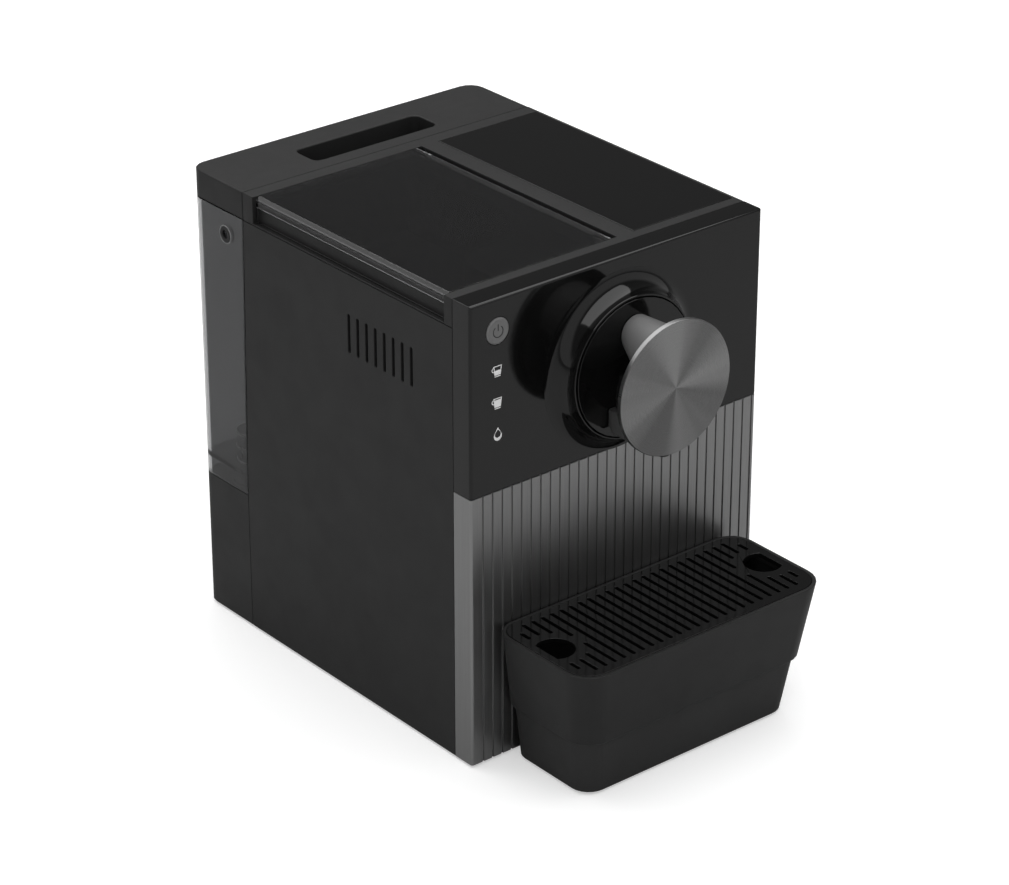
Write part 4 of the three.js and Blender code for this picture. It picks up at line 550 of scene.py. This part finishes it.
def circuit_board(name):
    material, tree, shader, spot = new_finish(name, 0.3, Coat_Weight=0.4)
    tracks = tree.nodes.new("ShaderNodeTexBrick")
    tracks.inputs["Scale"].default_value = 260
    tracks.inputs["Mortar Size"].default_value = 0.06
    tracks.inputs["Mortar Smooth"].default_value = 0.3
    slanted = tree.nodes.new("ShaderNodeMapping")
    slanted.inputs["Rotation"].default_value = (math.pi / 2, 0, math.pi / 4)
    link(tree, spot, slanted.inputs["Vector"])
    link(tree, slanted.outputs[0], tracks.inputs["Vector"])
    vary_colour(tree, shader, tracks.outputs["Fac"], (0.012, 0.09, 0.035), (0.04, 0.2, 0.08))
    link(tree, between(tree, noise(tree, spot, 300, 2), 0.25, 0.4), shader.inputs["Roughness"])
    bump(tree, shader, tracks.outputs["Fac"], 0.00004, 0.5)
    return material


finishes.update({
    "rubber_foot": rubber("foot_rubber", 0.022),
    "seal_rubber": rubber("seal_rubber", 0.03),
    "silicone": silicone("milky_silicone"),
    "board_green": circuit_board("green_board"),
})
print("all finishes:", len(finishes))


# %% [markdown]
# ### Give every node its finish
# The record names a material slot for each piece, so the finishes go on by slot, and a piece that
# is added later gets the right one by itself. The CAD objects stay as they are, apart from that.

# %% Finishes on the nodes
for name, node in nodes.items():
    node.data.materials.clear()
    node.data.materials.append(finishes[slot_of[name]])
print("finishes on", len(nodes), "nodes")


# %% [markdown]
# ## Rounded edges
# A moulded or pressed edge is never knife sharp: a radius of a few tenths of a millimetre catches
# a line of light, and that line is what makes an edge read as real. The CAD solids have only their
# large radii. Each visible one is copied, its loose triangles are merged, flat areas are dissolved
# back into single faces, and a Bevel modifier rounds what is left. Smoothing by a subdivision
# surface would melt the slots and grooves, which is why a bevel was chosen. The copy stands for the
# CAD node and moves with the same body.

# %% Plain meshes from modifiers
MERGE = 2e-6
FLAT = math.radians(0.5)
SMOOTH = math.radians(50)
ONLY_LARGE_FACES = 100


def plain_mesh(obj):
    """What the object's modifiers make of it, as a mesh of its own."""
    graph = bpy.context.evaluated_depsgraph_get()
    return bpy.data.meshes.new_from_object(obj.evaluated_get(graph))


def apply_modifiers(obj):
    mesh = plain_mesh(obj)
    obj.modifiers.clear()
    obj.data = mesh


def finish_mesh(obj):
    """Applies the modifiers, then shades smooth with the normals of the large faces kept flat."""
    apply_modifiers(obj)
    for polygon in obj.data.polygons:
        polygon.use_smooth = True
    obj.data.set_sharp_from_angle(angle=SMOOTH)
    weighted = obj.modifiers.new("flat faces", "WEIGHTED_NORMAL")
    weighted.keep_sharp = True
    weighted.weight = ONLY_LARGE_FACES
    apply_modifiers(obj)


def mesh_from(form, name):
    """The bmesh as a mesh. The bmesh is freed."""
    mesh = bpy.data.meshes.new(name)
    form.to_mesh(mesh)
    form.free()
    return mesh


def outward(form, merge=None):
    """Turns every face outwards, after the doubles are merged."""
    if merge:
        bmesh.ops.remove_doubles(form, verts=form.verts, dist=merge)
    bmesh.ops.recalc_face_normals(form, faces=form.faces)


# %% Rounded copies
BEVEL_STEPS = 2
SHARP = math.radians(40)


def merged_copy(node):
    form = bmesh.new()
    form.from_mesh(nodes[node].data)
    bmesh.ops.remove_doubles(form, verts=form.verts, dist=MERGE)
    bmesh.ops.dissolve_limit(form, angle_limit=FLAT, verts=form.verts, edges=form.edges)
    return mesh_from(form, node + "_shape")


def stand_for(obj, node, finish=None):
    """The object takes the node's place, its body and its finish."""
    obj.data.materials.clear()
    obj.data.materials.append(finish or finishes[slot_of[node]])
    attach(obj, body_of[node])
    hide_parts(node)


def round_edges(node, radius, finish=None):
    """A copy of a CAD node with its sharp edges rounded stands for it. Radius in millimetres."""
    obj = linked(node + "_finished", merged_copy(node))
    bevel = obj.modifiers.new("edge radius", "BEVEL")
    bevel.width = radius * MM
    bevel.segments = BEVEL_STEPS
    bevel.limit_method = "ANGLE"
    bevel.angle_limit = SHARP
    bevel.use_clamp_overlap = False
    bevel.miter_outer = "MITER_SHARP"
    finish_mesh(obj)
    stand_for(obj, node, finish)


# Millimetres.
EDGE_RADII = {
    "front_cover_upper": 0.2, "front_cover_lower": 0.12, "side_panel_left": 0.3,
    "side_panel_right": 0.3, "rear_housing": 0.4, "top_frame": 0.35, "top_panel_right": 0.25,
    "capsule_lid": 0.25, "capsule_bin": 0.4, "tank_lid": 0.8, "water_tank": 0.3,
    "drip_tray": 0.4, "drip_grille": 0.2, "tray_support": 0.4, "base_plate": 0.3,
    "pod_holder": 0.3, "coffee_spout": 0.9, "tank_valve_cup": 0.2, "cord_gland": 0.3,
}
valve_plastic = clear_plastic("valve_clear_plastic", (0.62, 0.62, 0.63), 0.05, 1.49, clear=0.7)
for node, radius in EDGE_RADII.items():
    round_edges(node, radius, valve_plastic if node == "tank_valve_cup" else None)
print("rounded copies:", len(EDGE_RADII))


# %% [markdown]
# ## Turned pieces of the brew head
# The collar, the disc and the post are round, and they are what the eye goes to. Each is turned
# afresh with a fine step, from a profile whose corners are true arcs. A cylinder with a Bevel
# modifier would do for the disc, but not for the collar's wide flare. A lathe profile does for all,
# and it is the natural way, since a real collar comes from a turned mould.

# %% Profiles
CORNER_STEPS = 6


def arc_corners(corners, closed, steps):
    """A profile of (radius, y, corner radius) rows, with each corner replaced by its arc."""
    points = []
    count = len(corners)
    for i, (r, y, corner) in enumerate(corners):
        here = Vector((r, y))
        if corner <= 0 or (not closed and i in (0, count - 1)):
            points.append(here)
            continue
        to_last = (Vector(corners[i - 1][:2]) - here).normalized()
        to_next = (Vector(corners[(i + 1) % count][:2]) - here).normalized()
        half_angle = to_last.angle(to_next) / 2
        centre = here + (to_last + to_next).normalized() * corner / math.sin(half_angle)
        start = here + to_last * corner / math.tan(half_angle) - centre
        end = here + to_next * corner / math.tan(half_angle) - centre
        turn = start.angle_signed(end)
        for step in range(steps + 1):
            points.append(centre + Matrix.Rotation(-turn * step / steps, 2) @ start)
    return points


# %% The lathe
ON_AXIS = 1e-6
SAME_SPOT = 1e-8


def turned(name, corners, centre, closed=False, around=128, steps=CORNER_STEPS, lift=None):
    """Revolves a profile, in millimetres from the centre, about an axis along Y. The lift is a
    function of y that moves the axis up."""
    form = bmesh.new()
    rings = []
    for r, y in arc_corners(corners, closed, steps):
        up = lift(y) if lift else 0.0
        angles = [2 * math.pi * k / around for k in range(1 if r < ON_AXIS else around)]
        rings.append([form.verts.new((centre[0] + r * math.cos(angle) * MM, centre[1] + y * MM,
                                      centre[2] + (r * math.sin(angle) + up) * MM))
                      for angle in angles])
    for first, second in zip(rings, rings[1:] + ([rings[0]] if closed else [])):
        for k in range(around):
            loop = [first[k % len(first)], first[(k + 1) % len(first)],
                    second[(k + 1) % len(second)], second[k % len(second)]]
            loop = list(dict.fromkeys(loop))
            if len(loop) > 2:
                form.faces.new(loop)
    outward(form, SAME_SPOT)
    obj = linked(name, mesh_from(form, name))
    finish_mesh(obj)
    return obj


# %% Places on the front
panel_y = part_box("front_cover_upper")[0].y
hub = Vector((head_axis.x, panel_y, head_axis.z))


def depth(node):
    """Front and rear of a node in millimetres behind the front panel."""
    low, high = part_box(node)
    return (low.y - panel_y) / MM, (high.y - panel_y) / MM


def half_width(node):
    low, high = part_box(node)
    return (high.x - low.x) / 2 / MM


def faces_of(*objects):
    return {obj.name: len(obj.data.polygons) for obj in objects}


print("the panel's face is at y =", round(panel_y, 4), "and the hub at z =", round(hub.z, 4))

# %% Collar
COLLAR_BORE = 36.2
COLLAR_RIM = 37.4
COLLAR_SLEEVE = 39.0
COLLAR_FLARE = 9.9
FLARE_FOOT, FLARE_BACK = -0.06, -0.03
nose, sleeve_end = depth("head_collar")
collar_foot = COLLAR_RIM + COLLAR_FLARE + 0.02
collar = turned("head_collar_turned", [
    (COLLAR_BORE, nose, 0.4), (COLLAR_RIM, nose, 0.6), (COLLAR_RIM, FLARE_FOOT, COLLAR_FLARE),
    (collar_foot, FLARE_FOOT, 0), (collar_foot, FLARE_BACK, 0), (COLLAR_SLEEVE, FLARE_BACK, 0),
    (COLLAR_SLEEVE, sleeve_end, 0.4), (COLLAR_BORE, sleeve_end, 0.4)],
    hub, closed=True, around=160, steps=12)
stand_for(collar, "head_collar")
print(faces_of(collar))

# %% Disc
disc_nose, disc_back = depth("knob_face")
disc_r = half_width("knob_face")
disc = turned("knob_face_turned", [
    (0, disc_nose, 0), (disc_r, disc_nose, 0.45), (disc_r, disc_back, 0.5), (0, disc_back, 0)],
    hub, around=160, steps=4)
stand_for(disc, "knob_face")
print(faces_of(disc), "radius", round(disc_r, 2), "mm")

# %% Post
POST_REAR_R = 9.2
POST_FRONT_R = 19.0
post_front, post_rear = depth("grip_post")
post_top = (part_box("grip_post")[1].z - hub.z) / MM


def post_lift(y):
    """Height of the post's centre line, so that its top line stays level."""
    share = (y - post_front) / (post_rear - post_front)
    return post_top - (POST_FRONT_R + (POST_REAR_R - POST_FRONT_R) * share)


post = turned("grip_post_turned", [
    (0, post_front, 0), (POST_FRONT_R, post_front, 0.3), (POST_REAR_R, post_rear, 0.5),
    (0, post_rear, 0)], hub, around=96, lift=post_lift)
stand_for(post, "grip_post")
print(faces_of(post))


# %% [markdown]
# ## Small rings of the tank
# High on each side of the tank is a round eye, a dark rubber grommet in a pale clear lip, whose
# pale tint is partly a painted glint. The valve's cup on the tank's floor has moulded beads round
# its foot, its middle and its lip, in a near-white plastic: besides their real glints, their pale
# colour is a painted highlight for the cup's bright edges. They are small turned rings, so the same
# lathe makes them about the origin, and a matrix puts each in its place.

# %% Tank rings
def tank_ring(name, corners, placing, finish):
    """A small turned ring that belongs to the tank, put in its place by a matrix."""
    ring = turned(name, corners, Vector((0, 0, 0)), closed=True, around=64, steps=4)
    ring.data.transform(placing)
    ring.data.materials.append(finish)
    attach(ring, "tank")
    print(faces_of(ring))


# %% Eyes
EYE_IN = 30.3
EYE_DROP = 28.0
frame_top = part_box("top_frame")[1].z
for side, x, turn in (("left", tank_low.x, -1), ("right", tank_high.x, 1)):
    placing = (Matrix.Translation((x, tank_high.y - EYE_IN * MM, frame_top - EYE_DROP * MM))
               @ Matrix.Rotation(turn * math.pi / 2, 4, "Z"))
    tank_ring("tank_eye_grommet_" + side, [
        (2.45, -0.5, 0.3), (4.4, -0.5, 0.6), (4.4, 1.2, 0.1), (2.45, 1.2, 0.1)],
        placing, finishes["seal_rubber"])
    # The pale clear lip: real glints on its rounded edges, and its pale tint partly a painted glint
    # round the dark grommet.
    tank_ring("tank_eye_ring_" + side, [
        (4.45, -0.3, 0.15), (5.0, -0.2, 0.2), (5.0, 0.5, 0.1), (4.45, 0.5, 0.1)],
        placing, valve_plastic)

# %% Beads on the valve's cup
LYING_DOWN = Matrix.Rotation(math.pi / 2, 4, "X")
BEAD = 1.3
BEAD_SUNK, BEAD_PROUD = 0.3, 0.6
# Near-white beads: a painted highlight for the bright edges of the cup, on top of their real
# glints.
bead_painted_highlight_plastic = clear_plastic("valve_bead_plastic", (0.95, 0.95, 0.95), 0.05, 1.49, clear=0.3)
cup_low, cup_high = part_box("tank_valve_cup")
cup_x, cup_y = (cup_low.x + cup_high.x) / 2, (cup_low.y + cup_high.y) / 2
on_floor = Matrix.Translation((cup_x, cup_y, cup_low.z)) @ LYING_DOWN
cup_r = half_width("tank_valve_cup")
cup_top = (cup_high.z - cup_low.z) / MM
for label, height in (("foot", 0.1), ("middle", cup_top * 0.45), ("lip", cup_top - BEAD)):
    tank_ring("tank_valve_bead_" + label, [
        (cup_r - BEAD_SUNK, height, 0.2), (cup_r + BEAD_PROUD, height, 0.4),
        (cup_r + BEAD_PROUD, height + BEAD, 0.6), (cup_r - BEAD_SUNK, height + BEAD, 0.2)],
        on_floor, bead_painted_highlight_plastic)


# %% [markdown]
# ## Power button
# The button is a cap with a dished face and a soft edge. Behind the panel it widens to a flange,
# which keeps it from falling out, and its stem reaches the switch. All of that is one profile on
# the lathe.

# %% Power button
BUTTON_R = 6.8
FLANGE = 1.6
FLANGE_FRONT, FLANGE_REAR = 2.8, 4.0
STEM_R = 2.0
button_low, button_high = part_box("power_button")
button_hub = Vector(((button_low.x + button_high.x) / 2, panel_y,
                     (button_low.z + button_high.z) / 2))
button_nose, button_end = depth("power_button")
button = turned("power_button_turned", [
    (0, button_nose + 0.18, 0), (BUTTON_R - 1.6, button_nose + 0.1, 1.0),
    (BUTTON_R - 0.9, button_nose, 0.4), (BUTTON_R, button_nose + 0.5, 0.3),
    (BUTTON_R, FLANGE_FRONT, 0), (BUTTON_R + FLANGE, FLANGE_FRONT, 0.2),
    (BUTTON_R + FLANGE, FLANGE_REAR, 0.2), (STEM_R, FLANGE_REAR, 0), (STEM_R, button_end, 0.3),
    (0, button_end, 0)], button_hub, around=96)
stand_for(button, "power_button")
print(faces_of(button))


# %% [markdown]
# ## Ribbed grip
# Behind the disc sits a shallow grip with rounded ribs, so that a wet hand can turn it. A rib is
# the same shape repeated round an arc, which is a job for Geometry Nodes: points along an arc, one
# rib instanced on each, then realised into plain mesh. A rib is a short line swept with a circle
# that shrinks at both ends, so its ends are domed. The core that carries the ribs is a thick arc,
# left and right of the post and the spout.

# %% Geometry Nodes helpers
def node_group(name, inputs):
    """A Geometry Nodes group with one geometry in and out, and named number inputs."""
    group = bpy.data.node_groups.new(name, "GeometryNodeTree")
    group.interface.new_socket("Geometry", in_out="INPUT", socket_type="NodeSocketGeometry")
    group.interface.new_socket("Geometry", in_out="OUTPUT", socket_type="NodeSocketGeometry")
    for label, kind in inputs:
        group.interface.new_socket(label, in_out="INPUT", socket_type=kind)
    return group, group.nodes.new("NodeGroupInput"), group.nodes.new("NodeGroupOutput")


def set_inputs(modifier, values):
    """Sets a modifier's inputs by their sockets' identifiers."""
    for item in modifier.node_group.interface.items_tree:
        if item.item_type == "SOCKET" and item.in_out == "INPUT" and item.name in values:
            modifier[item.identifier] = values[item.name]


def grown(name, group, values, start=None):
    """An object whose mesh is what the node group makes, as plain geometry."""
    obj = linked(name, start or bpy.data.meshes.new(name))
    modifier = obj.modifiers.new("grow", "NODES")
    modifier.node_group = group
    set_inputs(modifier, values)
    finish_mesh(obj)
    return obj


def end_group(group, instances, finish, result):
    """Every tree ends so: the instances are made real and get their finish."""
    real = group.nodes.new("GeometryNodeRealizeInstances")
    group.links.new(instances, real.inputs[0])
    paint = group.nodes.new("GeometryNodeSetMaterial")
    paint.inputs["Material"].default_value = finish
    group.links.new(real.outputs[0], paint.inputs["Geometry"])
    group.links.new(paint.outputs[0], result.inputs[0])


# %% One domed rib
def domed_rib(group, given):
    """Nodes that sweep a circle along a line up Z. It shrinks with the sixth power of the distance
    from the middle, so the rib is even along its length and domed at both ends."""
    new, join = group.nodes.new, group.links.new

    def multiply_add(value, factor, added):
        node = new("ShaderNodeMath")
        node.operation = "MULTIPLY_ADD"
        node.inputs[1].default_value = factor
        node.inputs[2].default_value = added
        join(value, node.inputs[0])
        return node.outputs[0]

    end = new("ShaderNodeCombineXYZ")
    join(given.outputs["Rib length"], end.inputs["Z"])
    line = new("GeometryNodeCurvePrimitiveLine")
    join(end.outputs[0], line.inputs["End"])
    fine = new("GeometryNodeResampleCurve")
    fine.inputs["Count"].default_value = 9
    join(line.outputs[0], fine.inputs["Curve"])
    steep = new("ShaderNodeMath")
    steep.operation = "POWER"
    steep.inputs[1].default_value = 6
    join(multiply_add(new("GeometryNodeSplineParameter").outputs["Factor"], 2, -1), steep.inputs[0])
    ring = new("GeometryNodeCurvePrimitiveCircle")
    ring.inputs["Resolution"].default_value = 12
    join(given.outputs["Rib radius"], ring.inputs["Radius"])
    sweep = new("GeometryNodeCurveToMesh")
    sweep.inputs["Fill Caps"].default_value = True
    join(fine.outputs[0], sweep.inputs["Curve"])
    join(ring.outputs[0], sweep.inputs["Profile Curve"])
    join(multiply_add(steep.outputs[0], -0.6, 1), sweep.inputs["Scale"])
    return sweep.outputs[0]


# %% Ribs on an arc
def rib_group(finish):
    """Ribs along Z on an arc in the XY plane, about the origin."""
    group, given, result = node_group("grip_ribs", [
        ("Radius", "NodeSocketFloat"), ("Start", "NodeSocketFloat"), ("Sweep", "NodeSocketFloat"),
        ("Ribs", "NodeSocketInt"), ("Rib radius", "NodeSocketFloat"),
        ("Rib length", "NodeSocketFloat")])
    new, join = group.nodes.new, group.links.new
    arc = new("GeometryNodeCurveArc")
    arc.inputs["Resolution"].default_value = 64
    join(given.outputs["Radius"], arc.inputs["Radius"])
    join(given.outputs["Start"], arc.inputs["Start Angle"])
    join(given.outputs["Sweep"], arc.inputs["Sweep Angle"])
    spots = new("GeometryNodeCurveToPoints")
    join(arc.outputs[0], spots.inputs["Curve"])
    join(given.outputs["Ribs"], spots.inputs["Count"])
    spread = new("GeometryNodeInstanceOnPoints")
    join(spots.outputs["Points"], spread.inputs["Points"])
    join(domed_rib(group, given), spread.inputs["Instance"])
    end_group(group, spread.outputs[0], finish, result)
    return group


# %% Core of the grip
CORE_STEPS = 28
grip_low, grip_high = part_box("knob_grip")
grip_r = (grip_high.x - grip_low.x) / 2
grip_depth = grip_high.y - grip_low.y
onto_head = Matrix.Translation((hub.x, grip_high.y, hub.z)) @ LYING_DOWN


def grip_core(name, start, sweep, inner, outer, length):
    """A thick arc in the XY plane, as tall as the grip is deep."""
    form = bmesh.new()
    rows = []
    for k in range(CORE_STEPS + 1):
        angle = start + sweep * k / CORE_STEPS
        rows.append([form.verts.new((r * math.cos(angle), r * math.sin(angle), z))
                     for r, z in ((inner, 0), (outer, 0), (outer, length), (inner, length))])
    for a, b in zip(rows, rows[1:]):
        for i in range(4):
            form.faces.new((a[i], a[(i + 1) % 4], b[(i + 1) % 4], b[i]))
    form.faces.new(rows[0][::-1])
    form.faces.new(rows[-1])
    outward(form)
    form.transform(onto_head)
    return linked(name, mesh_from(form, name))


print("the grip is", round(grip_depth / MM, 2), "mm deep, radius", round(grip_r / MM, 2), "mm")

# %% Both halves of the grip
GRIP_OPEN = math.radians(66)
GRIP_SWEEP = math.radians(82)
END_MARGIN = math.radians(2.5)
GRIP_BORE = 19 * MM
RIB_COUNT = 9
RIB_R = 0.95 * MM
CORE_BELOW_RIBS = 1.2 * MM
ribs = rib_group(finishes["gloss_black"])
upright = math.pi / 2
for side, start in (("left", upright + GRIP_OPEN), ("right", upright - GRIP_OPEN - GRIP_SWEEP)):
    core = grip_core("knob_grip_core_" + side, start, GRIP_SWEEP, GRIP_BORE,
                     grip_r - CORE_BELOW_RIBS, grip_depth)
    finish_mesh(core)
    stand_for(core, "knob_grip")
    row = grown("knob_grip_ribs_" + side, ribs, {
        "Radius": grip_r - RIB_R - 0.1 * MM, "Start": start + END_MARGIN,
        "Sweep": GRIP_SWEEP - 2 * END_MARGIN, "Ribs": RIB_COUNT, "Rib radius": RIB_R,
        "Rib length": grip_depth - 0.2 * MM})
    row.data.transform(onto_head)
    stand_for(row, "knob_grip", finishes["gloss_black"])
    print(faces_of(core, row))


# %% [markdown]
# ## Printed symbols
# Three white symbols stand below the power button: a cup half full, a cup filled to the brim, and
# a drop. Each is a flat curve with its holes, given the thickness of a coat of ink, and laid on the
# panel. A filled 2D curve cuts its holes by itself, which saves any boolean.

# %% Flat outlines
FULL_TURN = 2 * math.pi


def oval(x, z, across, up, count=28, start=0.0, sweep=FULL_TURN):
    """Points of an ellipse or of a part of one."""
    steps = count if sweep == FULL_TURN else count - 1
    return [(x + across * math.cos(start + sweep * k / steps),
             z + up * math.sin(start + sweep * k / steps)) for k in range(count)]


def arc_band(x, z, radius, width, start, sweep, count=28):
    """Outline of a curved band of constant width."""
    outer = oval(x, z, radius + width / 2, radius + width / 2, count, start, sweep)
    inner = oval(x, z, radius - width / 2, radius - width / 2, count, start, sweep)
    return outer + inner[::-1]


def plate(name, loops, thickness):
    """A flat mesh in the XY plane from closed outlines in millimetres. Inner loops are holes."""
    curve = bpy.data.curves.new(name, "CURVE")
    curve.dimensions = "2D"
    curve.fill_mode = "BOTH"
    curve.extrude = thickness * MM / 2
    for loop in loops:
        spline = curve.splines.new("POLY")
        spline.points.add(len(loop) - 1)
        for point, (u, v) in zip(spline.points, loop):
            point.co = (u * MM, v * MM, 0, 1)
        spline.use_cyclic_u = True
    flat = linked(name + "_flat", curve)
    mesh = plain_mesh(flat)
    bpy.data.objects.remove(flat)
    return mesh


# %% A coat of ink
INK = 0.05


def symbol(name, loops, x, y, z, finish, body):
    """Lays closed outlines, in millimetres about (x, z), on a face at y that looks forwards."""
    mesh = plate(name, loops, INK)
    mesh.transform(Matrix.Translation((x, y - INK * MM / 2, z)) @ LYING_DOWN)
    mesh.name = name
    mesh.materials.clear()
    mesh.materials.append(finish)
    obj = linked(name, mesh)
    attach(obj, body)
    print(faces_of(obj))


# %% Outlines of a cup and a drop
def cup_loops(level):
    """A cup, its handle and its saucer. The level is how far below the rim the drink starts."""
    rim, foot, top, bottom, line = 2.55, 1.75, 2.6, -2.2, 0.42
    body = [(-rim + 0.6, top), (rim + 0.6, top), (foot + 0.75, bottom), (-foot + 0.45, bottom)]
    hollow_low = top - level
    lean = (rim - foot) / (top - bottom)

    def wall(height, side):
        return 0.6 + side * (rim - (top - height) * lean - line)

    hollow = [(wall(top - line, -1), top - line), (wall(top - line, 1), top - line),
              (wall(hollow_low, 1), hollow_low), (wall(hollow_low, -1), hollow_low)]
    handle = arc_band(-1.75, 0.75, 1.05, line * 1.05, math.pi * 0.5, math.pi * 1.05, 18)
    saucer = [(-1.2, -3.05), (2.4, -3.05), (2.4, -2.62), (-1.2, -2.62)]
    return [body, hollow, handle, saucer]


def drop_loops():
    """A drop: a round belly, a pointed top, and a hollow that leaves its floor filled."""
    def outline(belly, tip, low):
        arc = oval(0, low + belly, belly, belly, 24, math.radians(155), math.radians(230))
        return arc + [(0, tip)]
    return [outline(2.45, 3.7, -3.4), outline(1.85, 2.5, -1.9)]


# %% Symbols on the panel
CUP_LEFT = 0.7
white_print = moulded("white_print", 0.85, 0.5, grain=0.00001)
for label, loops, left, drop in (("small_cup", cup_loops(2.3), CUP_LEFT, 20.5),
                                 ("large_cup", cup_loops(0.95), CUP_LEFT, 37.3),
                                 ("drop", drop_loops(), 0, 53.8)):
    symbol("symbol_" + label, loops, button_hub.x - left * MM, panel_y,
           button_hub.z - drop * MM, white_print, "housing")

# %% Power mark on the button
POWER_GAP = math.radians(38)
DISH = 0.15
grey_print = moulded("grey_print", 0.022, 0.5, grain=0.00001)
symbol("symbol_power", [
    arc_band(0, -0.2, 2.9, 0.55, math.pi / 2 + POWER_GAP, FULL_TURN - 2 * POWER_GAP, 40),
    [(-0.28, 0.2), (0.28, 0.2), (0.28, 3.6), (-0.28, 3.6)]],
    button_hub.x, button_low.y + DISH * MM, button_hub.z, grey_print, "button")


# %% [markdown]
# ## Screws under the base
# Six flat-headed screws close the base, in two rows of three, as on any appliance of this kind. One
# head is made as a pierced plate on a whole one, so that the cross recess has a floor. A boolean
# could cut the recess, but two filled outlines need none. Geometry Nodes then sets the head out on
# a grid. The heads hang below the base and stay clear of the table.

# %% One screw head
def screw_head(radius, height, arm):
    """A screw head that looks down from z = 0, with a cross recess. Sizes in millimetres."""
    long, short = arm * 1.7, arm * 0.5
    cross = [(short, long), (short, short), (long, short), (long, -short), (short, -short),
             (short, -long), (-short, -long), (-short, -short), (-long, -short), (-long, short),
             (-short, short), (-short, long)]
    form = bmesh.new()
    for loops, middle in (([oval(0, 0, radius, radius)], 0.25),
                          ([oval(0, 0, radius * 0.94, radius * 0.94), cross], 0.75)):
        mesh = plate("screw_layer", loops, height / 2)
        mesh.transform(Matrix.Translation((0, 0, -height * middle * MM)))
        form.from_mesh(mesh)
    outward(form, 1e-7)
    return mesh_from(form, "screw_head")


# %% Rows of screws
def row_group(finish):
    """The geometry that comes in, repeated on a grid about a centre."""
    group, given, result = node_group("screw_rows", [
        ("Span X", "NodeSocketFloat"), ("Span Y", "NodeSocketFloat"), ("Columns", "NodeSocketInt"),
        ("Rows", "NodeSocketInt"), ("Centre", "NodeSocketVector")])
    new, join = group.nodes.new, group.links.new
    grid = new("GeometryNodeMeshGrid")
    for label, socket in (("Span X", "Size X"), ("Span Y", "Size Y"), ("Columns", "Vertices X"),
                          ("Rows", "Vertices Y")):
        join(given.outputs[label], grid.inputs[socket])
    spread = new("GeometryNodeInstanceOnPoints")
    join(grid.outputs["Mesh"], spread.inputs["Points"])
    join(given.outputs["Geometry"], spread.inputs["Instance"])
    place = new("GeometryNodeTransform")
    join(spread.outputs[0], place.inputs["Geometry"])
    join(given.outputs["Centre"], place.inputs["Translation"])
    end_group(group, place.outputs[0], finish, result)
    return group


# %% Screws under the base
SIDE_MARGINS = 0.016
END_MARGINS = 0.07
base_low, base_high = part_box("base_plate")
base_x, base_y = (base_low.x + base_high.x) / 2, (base_low.y + base_high.y) / 2
screws = grown("base_screws", row_group(finishes["steel_pin"]), {
    "Span X": base_high.x - base_low.x - SIDE_MARGINS,
    "Span Y": base_high.y - base_low.y - END_MARGINS,
    "Columns": 2, "Rows": 3, "Centre": (base_x, base_y, base_low.z)},
    screw_head(3.0, 0.7, 1.0))
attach(screws, "housing")
print(faces_of(screws))
